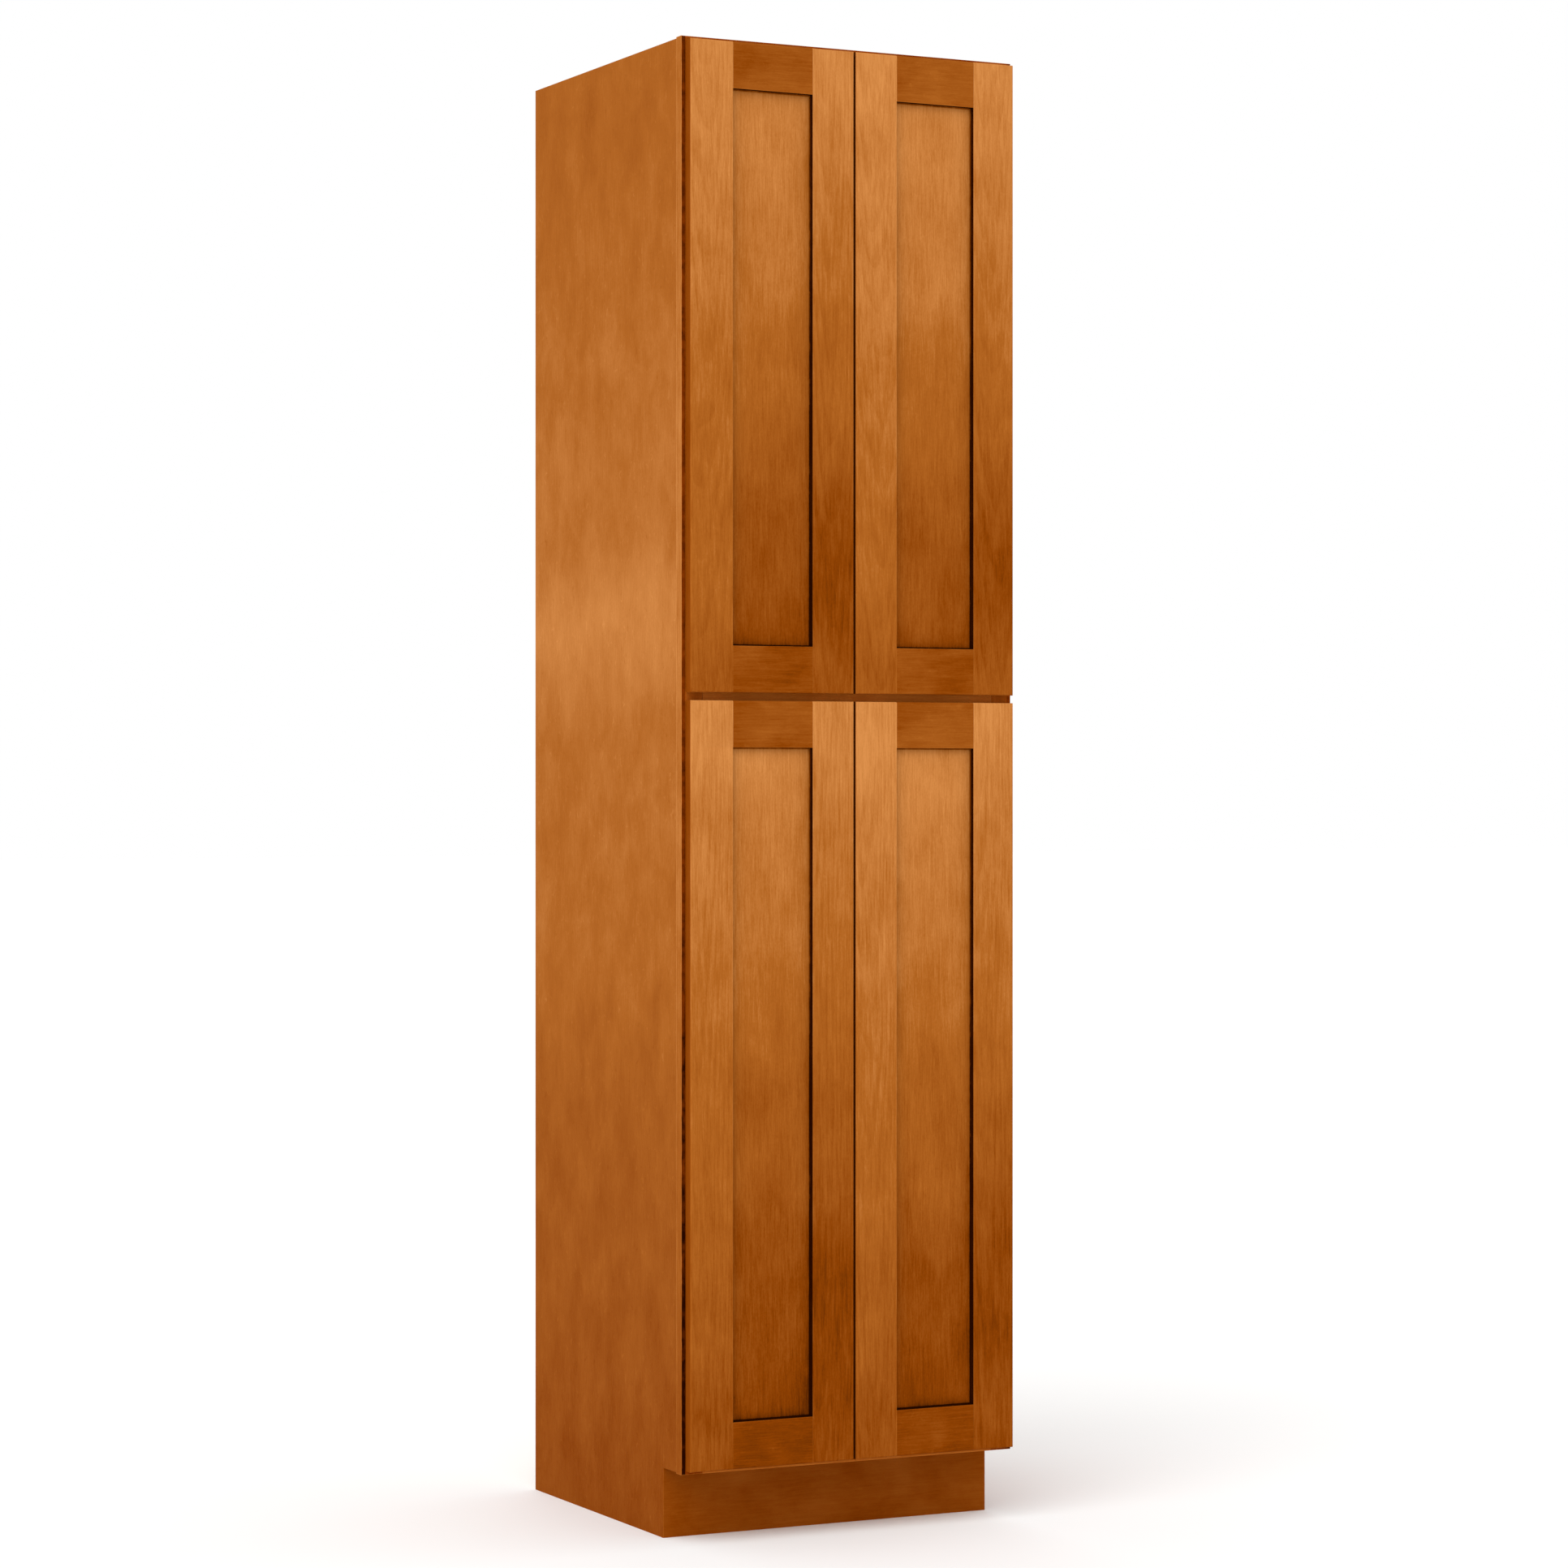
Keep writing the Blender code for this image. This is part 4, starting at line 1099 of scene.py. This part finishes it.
class PANTRY_OT_side_panels(bpy.types.Operator):
    """Model the plywood sides, with their toe notch, dados, back groove and pin holes"""

    bl_idname = "pantry.side_panels"
    bl_label = "Side Panels"
    bl_options = {"REGISTER", "UNDO"}

    def execute(self, context):
        for number, (word, side) in enumerate(SIDES.items()):
            node = word + "_side_panel"
            low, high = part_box(node)
            inner = side_inner(side)
            outer = low.x if side < 0 else high.x
            board = (Vector((min(inner, outer), low.y, low.z)), Vector((max(inner, outer), high.y, high.z)))
            panel = block(node + "_board", *board)
            toe = self.notched(panel, board, outer)
            self.grooved(panel, board, inner, side)
            self.drilled(panel, inner, side)
            edge = ply_edge(node + "_edge", board, X)
            paint(panel, clear_maple(node + "_inside", board, Z, board=60 + number))
            paint(panel, edge, lambda face: abs(face.normal.x) < 0.5)
            # the outside: its tones partly painted light and shade, with a painted sheen band across it
            outside = stained_maple(
                node + "_outside", board, Z, SIDE_STAIN_AND_SHADE, board=62 + number,
                figure=FIGURES["side"], pith=(300, 380), lean=0.4, painted_sheen=SIDE_PAINTED_SHEEN,
            )
            paint(panel, outside, lambda face: face.normal.x * side > 0.3 or self.stained(face, toe))
            settle(panel, CASE, "stained_maple", node)
        return {"FINISHED"}

    def stained(self, face, toe):
        """The toe notch and the foot are stained with the outside."""
        return face.normal.z < -0.5 or (face.normal.y < -0.5 and face.center.z < toe)

    def notched(self, panel, board, outer):
        skin, frame_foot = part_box("toe_kick_skin"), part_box("face_frame_left_stile")[0].z
        tool = block("notch_tool", (board[0].x - PAST, board[0].y - PAST, -PAST),
                     (board[1].x + PAST, skin[1].y + FIT, frame_foot))
        shape_with(panel, tool)
        rim = [(Y, board[1].y), (Z, board[0].z), (Z, board[1].z), (Z, frame_foot)]
        round_border(panel, (X, outer), rim, settings("wood").board_ease, 2)
        return frame_foot

    def grooved(self, panel, board, inner, side):
        depth = settings("wood").dado_depth
        reach = sorted((inner - side * PAST, inner + side * depth))
        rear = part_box("back_panel")
        for node in ("bottom_deck", "fixed_shelf", "top_panel"):
            low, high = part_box(node)
            top = high.z + FIT + (PAST if node == "top_panel" else 0)
            shape_with(panel, block("dado_tool", (reach[0], board[0].y - PAST, low.z - FIT),
                                    (reach[1], rear[1].y + FIT, top)))
        shape_with(panel, block("back_tool", (reach[0], rear[0].y - FIT, -PAST),
                                (reach[1], rear[1].y + FIT, board[1].z + PAST)))

    def drilled(self, panel, inner, side):
        hardware = settings("hardware")
        tools = []
        for bay in TIERS:
            low, high = pin_heights(bay)
            steps = round((high - low) / hardware.pin_pitch)
            for step in range(-1, steps + 2):
                for y in pin_rows():
                    z = low + step * hardware.pin_pitch
                    start = (inner - side * PAST, y, z)
                    end = (inner + side * hardware.pin_hole_depth, y, z)
                    tools.append(rod("hole_tool", start, end, hardware.pin_radius, PEG_SIDES))
        shape_with(panel, combine("hole_tools", tools))


class PANTRY_OT_case_boards(bpy.types.Operator):
    """Model the top, deck, fixed shelf, back and rails of the case"""

    bl_idname = "pantry.case_boards"
    bl_label = "Case Boards"
    bl_options = {"REGISTER", "UNDO"}

    def execute(self, context):
        ease = settings("wood").board_ease
        for number, (node, through, grain) in enumerate(CASE_BOARDS):
            low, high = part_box(node)
            board = block(node + "_board", low, high)
            flats = ((through, low[through]), (through, high[through]))
            sides = rim_of(low, high, through)
            round_edges(board, [(flat, side) for flat in flats for side in sides], ease, 2)
            paint(board, clear_maple(node + "_maple", (low, high), grain, board=70 + number))
            paint(board, ply_edge(node + "_edge", (low, high), through),
                  lambda face: abs(face.normal[through]) < 0.5)
            settle(board, CASE, "natural_maple", node)
        return {"FINISHED"}


class PANTRY_OT_toe_kick(bpy.types.Operator):
    """Model the stained board across the toe space"""

    bl_idname = "pantry.toe_kick"
    bl_label = "Toe Kick"
    bl_options = {"REGISTER", "UNDO"}

    def execute(self, context):
        node = "toe_kick_skin"
        low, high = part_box(node)
        board = block(node + "_board", low, high)
        round_border(board, (Y, low.y), rim_of(low, high), settings("wood").board_ease, 2)
        paint(board, stained_maple(
            node + "_maple", (low, high), X, (TOE_STAIN,) * 5, board=80, pith=(200, 260),
            figure=FIGURES["toe"],
        ))
        settle(board, CASE, "stained_maple", node)
        return {"FINISHED"}


class PANTRY_OT_shelves(bpy.types.Operator):
    """Model the adjustable shelves, each with a solid strip along its front edge"""

    bl_idname = "pantry.shelves"
    bl_label = "Adjustable Shelves"
    bl_options = {"REGISTER", "UNDO"}

    def execute(self, context):
        wood = settings("wood")
        for number, (bay, word) in enumerate((bay, word) for bay in TIERS for word in ("low", "high")):
            node = f"{bay}_bay_{word}_shelf"
            low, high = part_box(node)
            shelf = block(node + "_board", low, high)
            strip = low.y + wood.edge_band
            slice_across(shelf, Y, (strip,))
            round_border(shelf, (Y, low.y), ((Z, low.z), (Z, high.z)), wood.frame_ease)
            paint(shelf, clear_maple(node + "_maple", (low, high), X, board=90 + number))
            paint(shelf, ply_edge(node + "_edge", (low, high), Z),
                  lambda face: abs(face.normal.z) < 0.5 and face.center.y > strip)
            paint(shelf, clear_maple(node + "_strip", (low, high), X, board=96 + number),
                  lambda face: face.center.y < strip)
            settle(shelf, CASE, "natural_maple", node)
        return {"FINISHED"}


class PANTRY_OT_shelf_pins(bpy.types.Operator):
    """Model one shelf pin with its paddle, and copy it under each corner of each shelf"""

    bl_idname = "pantry.shelf_pins"
    bl_label = "Shelf Pins"
    bl_options = {"REGISTER", "UNDO"}

    def execute(self, context):
        first = self.pin()
        for word, side in SIDES.items():
            for bay in TIERS:
                for level, z in zip(("low", "high"), pin_heights(bay)):
                    for place, y in zip(("front", "rear"), pin_rows()):
                        name = f"{bay}_bay_{level}_shelf_{word}_{place}_pin"
                        pin = copy_to(first, name, (side_inner(side), y, z), mirrored=side > 0)
                        settle(pin, CASE, "plated_steel")
        bpy.data.objects.remove(first)
        return {"FINISHED"}

    def pin(self):
        """A pin for a left side: its peg runs along -X into the wood, its paddle along +X."""
        hardware = settings("hardware")
        radius, reach = hardware.pin_radius, hardware.paddle_reach
        play, tip_ease, corner = 0.1 * MM, 0.6 * MM, 3 * MM
        half, thick, back, drop = 4.5 * MM, 1.4 * MM, 1.5 * MM, 9 * MM
        peg = rod("pin", (-hardware.pin_hole_depth + MM, 0, 0), (MM, 0, 0), radius - play, PEG_SIDES)
        with edit(peg, "FACE"):
            pick("faces", lambda face: face.normal.x < -0.9)
            bpy.ops.mesh.bevel(offset=tip_ease, segments=2, affect="EDGES")
        paddle = block("paddle", (play, -half, radius - thick), (reach, half, radius))
        slice_across(paddle, X, (back,))
        with edit(paddle, "FACE"):
            pick("faces", lambda face: face.normal.z < -0.9 and halfway(face).x < back)
            bpy.ops.mesh.extrude_region_move(TRANSFORM_OT_translate={"value": (0, 0, -drop)})
        for tip in ((X, reach), (Z, radius - thick - drop)):
            round_border(paddle, tip, ((Y, half), (Y, -half)), corner, 5)
        pin = shape_with(peg, paddle, "UNION")
        paint(pin, bpy.data.materials["plated_steel"])
        return pin


def hinges():
    """Each hinge's door, side and number, counted from the lowest."""
    for tier, word in DOORS:
        for number in range(1, TIERS[tier] + 1):
            yield f"{tier}_{word}_door", SIDES[word], number


def pivot(door):
    """The point where a door's pivot crosses the height 0."""
    joint = next(joint for joint in frame["joints"] if joint["child"] == door)
    return Vector((*joint["pos_m"][:2], 0))


def hinge_height(door, number):
    """The height of a hinge's middle."""
    low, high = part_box(f"{door}_hinge_cup_{number}")
    return (low.z + high.z) / 2


def copy_to_hinges(first, part):
    """Copies the first cup or arm to every hinge. A cup rides on its door, and an arm on the case."""
    for door, side, number in hinges():
        node = f"{door}_hinge_{part}_{number}"
        place = pivot(door) + Vector((0, 0, hinge_height(door, number)))
        made = copy_to(first, node + "_pressing", place, mirrored=side > 0)
        settle(made, door if part == "cup" else CASE, "plated_steel", node)
    bpy.data.objects.remove(first)


class PANTRY_OT_hinge_cups(bpy.types.Operator):
    """Model one hinge cup with its flange, screw ears and pin, and copy it into each bore"""

    bl_idname = "pantry.hinge_cups"
    bl_label = "Hinge Cups"
    bl_options = {"REGISTER", "UNDO"}

    def execute(self, context):
        copy_to_hinges(self.cup(), "cup")
        return {"FINISHED"}

    def cup(self):
        """A cup for a left door, with its pivot at the origin."""
        hardware = settings("hardware")
        low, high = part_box("lower_left_door_hinge_cup_1")
        middle = (low + high) / 2
        start = middle - pivot("lower_left_door")
        floor, rim = low.y - middle.y + start.y, high.y - middle.y + start.y
        sheet, radius, flange = hardware.cup_sheet, hardware.cup_radius, (high.x - low.x) / 2
        floor_round, corner_round, rim_ease = 2.2 * MM, 1.2 * MM, 0.25 * MM
        cup = rod("cup", (start.x, floor, 0), (start.x, rim, 0), radius, CUP_SIDES)
        with edit(cup, "FACE"):
            pick("faces", lambda face: face.normal.y > 0.9)
            bpy.ops.mesh.inset(thickness=sheet, depth=0)
            depth = rim - floor - sheet
            bpy.ops.mesh.extrude_region_move(TRANSFORM_OT_translate={"value": (0, -depth, 0)})
        slice_across(cup, Y, (rim - sheet,))
        with edit(cup, "FACE"):
            pick("faces", lambda face: (
                abs(face.normal.y) < 0.5 and halfway(face).y > rim - sheet
                and face.normal.dot(halfway(face) - Vector((start.x, 0, 0))) > 0
            ))
            bpy.ops.mesh.extrude_region_shrink_fatten(TRANSFORM_OT_shrink_fatten={"value": flange - radius})
        outermost = radius - MM
        round_edges(cup, [((Y, floor),) * 2], floor_round, 4,
                    along=lambda at: math.hypot(at.x - start.x, at.z) > outermost)
        round_edges(cup, [((Y, floor + sheet),) * 2], corner_round)
        round_edges(cup, [((Y, rim),) * 2], rim_ease, 2)
        half, overlap, thinner = hardware.ear_width / 2, 0.2 * MM, 0.05 * MM
        for up in (-1, 1):
            ends = sorted((up * (radius - overlap), up * (high.z - low.z) / 2))
            ear = block("ear", (start.x - half, rim - sheet + thinner, ends[0]),
                        (start.x + half, rim - thinner, ends[1]))
            tip = (Z, max(ends, key=abs))
            round_border(ear, tip, ((X, start.x - half), (X, start.x + half)), half * 0.98, 8)
            shape_with(cup, ear, "UNION")
        reach = 10.1 * MM
        pin = rod("pin", (0, 0, -reach), (0, 0, reach), hardware.pivot_radius, HINGE_PIN_SIDES)
        shape_with(cup, pin, "UNION")
        paint(cup, bpy.data.materials["plated_steel"])
        return cup


class PANTRY_OT_hinge_arms(bpy.types.Operator):
    """Model one hinge arm, curled round its pin and bent to its plate, and copy it to each hinge"""

    bl_idname = "pantry.hinge_arms"
    bl_label = "Hinge Arms"
    bl_options = {"REGISTER", "UNDO"}

    def execute(self, context):
        copy_to_hinges(self.arm(), "arm")
        return {"FINISHED"}

    def arm(self):
        """An arm for a left door, with its pivot at the origin: a strap along X and a leg along Y."""
        hardware = settings("hardware")
        low, high = (corner - pivot("lower_left_door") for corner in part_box("lower_left_door_hinge_arm_1"))
        sheet, half, bend = hardware.cup_sheet, hardware.arm_width / 2, hardware.arm_bend
        far, rear = high.x - 0.25 * MM, high.y - 0.2 * MM
        curl = math.radians(290)
        strap = block("arm", (0, low.y, -half), (far - bend, low.y + sheet, half))
        with edit(strap, "FACE"):
            pick("faces", lambda face: face.normal.x > 0.9)
            middle = (far - bend, low.y + bend, 0)
            bpy.ops.mesh.spin(steps=6, angle=math.radians(-90), center=middle, axis=(0, 0, 1))
        with edit(strap, "FACE"):
            pick("faces", lambda face: face.normal.y > 0.9 and halfway(face).x > far - sheet)
            reach = rear - (low.y + bend)
            bpy.ops.mesh.extrude_region_move(TRANSFORM_OT_translate={"value": (0, reach, 0)})
        with edit(strap, "FACE"):
            pick("faces", lambda face: face.normal.x < -0.9 and abs(halfway(face).x) < HAIR)
            bpy.ops.mesh.spin(steps=18, angle=curl, center=(0, 0, 0), axis=(0, 0, 1))
        with edit(strap, "FACE"):
            bpy.ops.mesh.select_all(action="SELECT")
            bpy.ops.mesh.remove_doubles(threshold=HAIR / 4)
            bpy.ops.mesh.normals_make_consistent(inside=False)
        self.stiffened(strap, low.y + sheet, half)
        shape_with(strap, self.plate(high.x, high.y), "UNION")
        paint(strap, bpy.data.materials["plated_steel"])
        return strap

    def stiffened(self, strap, top, half):
        """Turns up a low flange along both edges of the strap."""
        sheet = settings("hardware").cup_sheet
        near, far, rise = 3 * MM, 20 * MM, 0.9 * MM
        slice_across(strap, X, (near, far))
        slice_across(strap, Z, (sheet - half, half - sheet))
        with edit(strap, "FACE"):
            pick("faces", lambda face: (
                on(face, (Y, top)) and near < halfway(face).x < far and abs(halfway(face).z) > half - sheet
            ))
            bpy.ops.mesh.extrude_region_move(TRANSFORM_OT_translate={"value": (0, rise, 0)})

    def plate(self, far, rear):
        """The plate that is screwed to the frame's inner edge, with round corners."""
        front, half_height, corner, ease = rear - PLATE_DEPTH, 20 * MM, 4 * MM, 0.3 * MM
        plate = block("plate", (far - PLATE_ROOT, front, -half_height), (far - PLATE_FACE, rear, half_height))
        corners = [((Y, y), (Z, z)) for y in (front, rear) for z in (-half_height, half_height)]
        round_edges(plate, corners, corner, 5)
        round_edges(plate, [((X, far - PLATE_FACE),) * 2], ease, 2)
        return plate


class PANTRY_OT_hinge_screws(bpy.types.Operator):
    """Model the two kinds of hinge screw, and copy them to each cup's ears and each plate"""

    bl_idname = "pantry.hinge_screws"
    bl_label = "Hinge Screws"
    bl_options = {"REGISTER", "UNDO"}

    def execute(self, context):
        hardware = settings("hardware")
        flat = self.screw(Y, hardware.flat_rise)
        domed = self.screw(X, hardware.screw_rise)
        for door, side, number in hinges():
            cup_low, cup_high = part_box(f"{door}_hinge_cup_{number}")
            arm_low, arm_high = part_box(f"{door}_hinge_arm_{number}")
            far = (arm_high.x if side < 0 else arm_low.x) + side * PLATE_FACE
            plate_middle = arm_high.y - PLATE_DEPTH / 2
            height = hinge_height(door, number)
            for word, up in (("low", -1), ("high", 1)):
                place = ((cup_low.x + cup_high.x) / 2, cup_high.y, height + up * hardware.ear_screw)
                settle(copy_to(flat, f"{door}_hinge_{number}_cup_{word}_screw", place), door, "plated_steel")
                place = (far, plate_middle, height + up * hardware.plate_screw)
                name = f"{door}_hinge_{number}_plate_{word}_screw"
                settle(copy_to(domed, name, place, mirrored=side > 0), CASE, "plated_steel")
        for first in (flat, domed):
            bpy.data.objects.remove(first)
        return {"FINISHED"}

    def screw(self, axis, rise):
        """A screw's head with its cross recess, facing along an axis, with its seat at the origin."""
        sink, depth, half_thin, half_wide = 0.6 * MM, 0.8 * MM, 0.42 * MM, 1.9 * MM
        ends = [[0, 0, 0], [0, 0, 0]]
        ends[0][axis], ends[1][axis] = -sink, rise
        head = rod("screw", *ends, settings("hardware").screw_head, HEAD_SIDES)
        round_edges(head, [((axis, rise),) * 2], rise * 0.9, 4)
        across = [other for other in (X, Y, Z) if other != axis]
        for thin, wide in (across, across[::-1]):
            low, high = Vector(), Vector()
            low[axis], high[axis] = rise - depth, rise + PAST
            low[thin], high[thin] = -half_thin, half_thin
            low[wide], high[wide] = -half_wide, half_wide
            shape_with(head, block("recess", low, high))
        paint(head, bpy.data.materials["plated_steel"])
        return head


class PANTRY_OT_bumpers(bpy.types.Operator):
    """Model one clear bumper, and copy it to the meeting corners of each door's back"""

    bl_idname = "pantry.bumpers"
    bl_label = "Door Bumpers"
    bl_options = {"REGISTER", "UNDO"}

    def execute(self, context):
        hardware = settings("hardware")
        rise, dome, side_inset, end_inset = hardware.bumper_rise, 1.5 * MM, 12 * MM, hardware.bumper_inset
        first = rod("bumper", (0, 0, 0), (0, rise, 0), hardware.bumper_radius, HEAD_SIDES)
        round_edges(first, [((Y, rise),) * 2], dome, 5)
        paint(first, bpy.data.materials["clear_bumper"])
        for tier, word in DOORS:
            door, parts = door_nodes(tier, word)
            low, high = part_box(parts["meeting_stile"])
            x = low.x + side_inset if word == "right" else high.x - side_inset
            for end, z in (("foot", low.z + end_inset), ("head", high.z - end_inset)):
                bumper = copy_to(first, f"{door}_{end}_bumper", (x, high.y, z))
                settle(bumper, door, "clear_bumper")
        bpy.data.objects.remove(first)
        return {"FINISHED"}


# Stage -----------------------------------------------------------------------


class PANTRY_OT_stage(bpy.types.Operator):
    """Set up the floor, the soft light and the camera"""

    bl_idname = "pantry.stage"
    bl_label = "Stage"
    bl_options = {"REGISTER", "UNDO"}

    def execute(self, context):
        self.floor()
        self.light(context.scene)
        self.camera(context.scene)
        return {"FINISHED"}

    def floor(self):
        bpy.ops.object.select_all(action="DESELECT")
        bpy.ops.mesh.primitive_plane_add(size=120, location=(0, 0, 0))
        floor = rename(bpy.context.active_object, "studio_floor")
        material, wiring, shader, place = new_material("studio_floor")
        cloud = wiring.noise(wiring.vector("MULTIPLY", place, (2, 2, 2)), detail=3)
        pale = Vector(settings("finish").floor)
        tint = wiring.between(cloud, pale * 0.99, pale)
        surface(wiring, shader, tint, wiring.ease(cloud, 0.2, 0.8, 0.8, 0.9), cloud, 0.1 * MM)
        shader.inputs["Specular IOR Level"].default_value = 0.0
        paint(floor, material)
        floor.visible_glossy = False

    def light(self, scene):
        stage = settings("stage")
        world = bpy.data.worlds.new("studio")
        scene.world = world
        world.use_nodes = True
        world.cycles.sampling_method = "NONE"
        wiring = Wiring(world.node_tree)
        rays = wiring.node("LightPath").outputs
        lit = wiring.mix(rays["Is Glossy Ray"], stage.dome, stage.glow)
        background = world.node_tree.nodes["Background"]
        background.inputs["Color"].default_value = (1, 1, 1, 1)
        wiring.feed(background.inputs["Strength"], wiring.mix(rays["Is Camera Ray"], lit, 1.0))
        middle = Vector((0, 0, 1.2))
        key = self.lamp("key_light", "SUN", (-2.6, -2.6, 5.6), middle, stage.key)
        key.angle = math.radians(50)
        for name, place, size in (
            ("left_softbox", (-4.2, -2.6, 2.6), 2.4),
            ("right_softbox", (4.6, -1.4, 2.2), 2.4),
            ("rear_softbox", (1.5, 4.5, 3.0), 2.4),
        ):
            box = self.lamp(name, "AREA", place, middle, stage.sheen)
            box.shape, box.size = "SQUARE", size
        scene.view_settings.view_transform = "Standard"

    def lamp(self, name, kind, place, target, energy):
        lamp = bpy.data.lights.new(name, kind)
        lamp.energy = energy
        obj = bpy.data.objects.new(name, lamp)
        obj.location = place
        obj.rotation_euler = (target - Vector(place)).to_track_quat("-Z", "Y").to_euler()
        bpy.context.scene.collection.objects.link(obj)
        return lamp

    def camera(self, scene):
        stage = settings("stage")
        low, high = (Vector(corner) for corner in packed_box)
        middle = (low + high) / 2
        turn = stage.camera_turn
        ahead = Vector((math.sin(turn), math.cos(turn), 0))
        right = Vector((math.cos(turn), -math.sin(turn), 0))
        lens = bpy.data.cameras.new("camera")
        lens.lens = stage.lens
        lens.sensor_width = 36
        camera = bpy.data.objects.new("camera", lens)
        place = middle - ahead * stage.camera_back + right * stage.camera_across
        camera.location = (place.x, place.y, stage.camera_height)
        camera.rotation_euler = (math.radians(90), 0, -turn)
        scene.collection.objects.link(camera)
        scene.camera = camera


OPERATORS = (
    PANTRY_OT_finishes,
    PANTRY_OT_stage,
    PANTRY_OT_door_stiles,
    PANTRY_OT_door_rails,
    PANTRY_OT_door_panels,
    PANTRY_OT_face_frame,
    PANTRY_OT_side_panels,
    PANTRY_OT_case_boards,
    PANTRY_OT_toe_kick,
    PANTRY_OT_shelves,
    PANTRY_OT_shelf_pins,
    PANTRY_OT_bumpers,
    PANTRY_OT_hinge_cups,
    PANTRY_OT_hinge_arms,
    PANTRY_OT_hinge_screws,
)


class PANTRY_PT_sidebar(bpy.types.Panel):
    """The cabinet's sizes, colours and pieces"""

    bl_label = "Pantry Cabinet"
    bl_space_type = "VIEW_3D"
    bl_region_type = "UI"
    bl_category = "Pantry"

    def draw(self, context):
        for name in SETTINGS:
            group_of = getattr(context.scene, name)
            column = self.layout.column(heading=type(group_of).__name__)
            for prop in group_of.bl_rna.properties.keys():
                if prop not in ("rna_type", "name"):
                    column.prop(group_of, prop)
        for operator in OPERATORS:
            self.layout.operator(operator.bl_idname)


def register():
    for group_class in SETTINGS.values():
        bpy.utils.register_class(group_class)
    for name, group_class in SETTINGS.items():
        setattr(bpy.types.Scene, name, PointerProperty(type=group_class))
    for operator in OPERATORS:
        bpy.utils.register_class(operator)
    bpy.utils.register_class(PANTRY_PT_sidebar)


def unregister():
    bpy.utils.unregister_class(PANTRY_PT_sidebar)
    for operator in reversed(OPERATORS):
        bpy.utils.unregister_class(operator)
    for name, group_class in SETTINGS.items():
        delattr(bpy.types.Scene, name)
        bpy.utils.unregister_class(group_class)


def main():
    register()
    for operator in OPERATORS:
        section, name = operator.bl_idname.split(".")
        getattr(getattr(bpy.ops, section), name)()


if __name__ == "__main__":
    main()
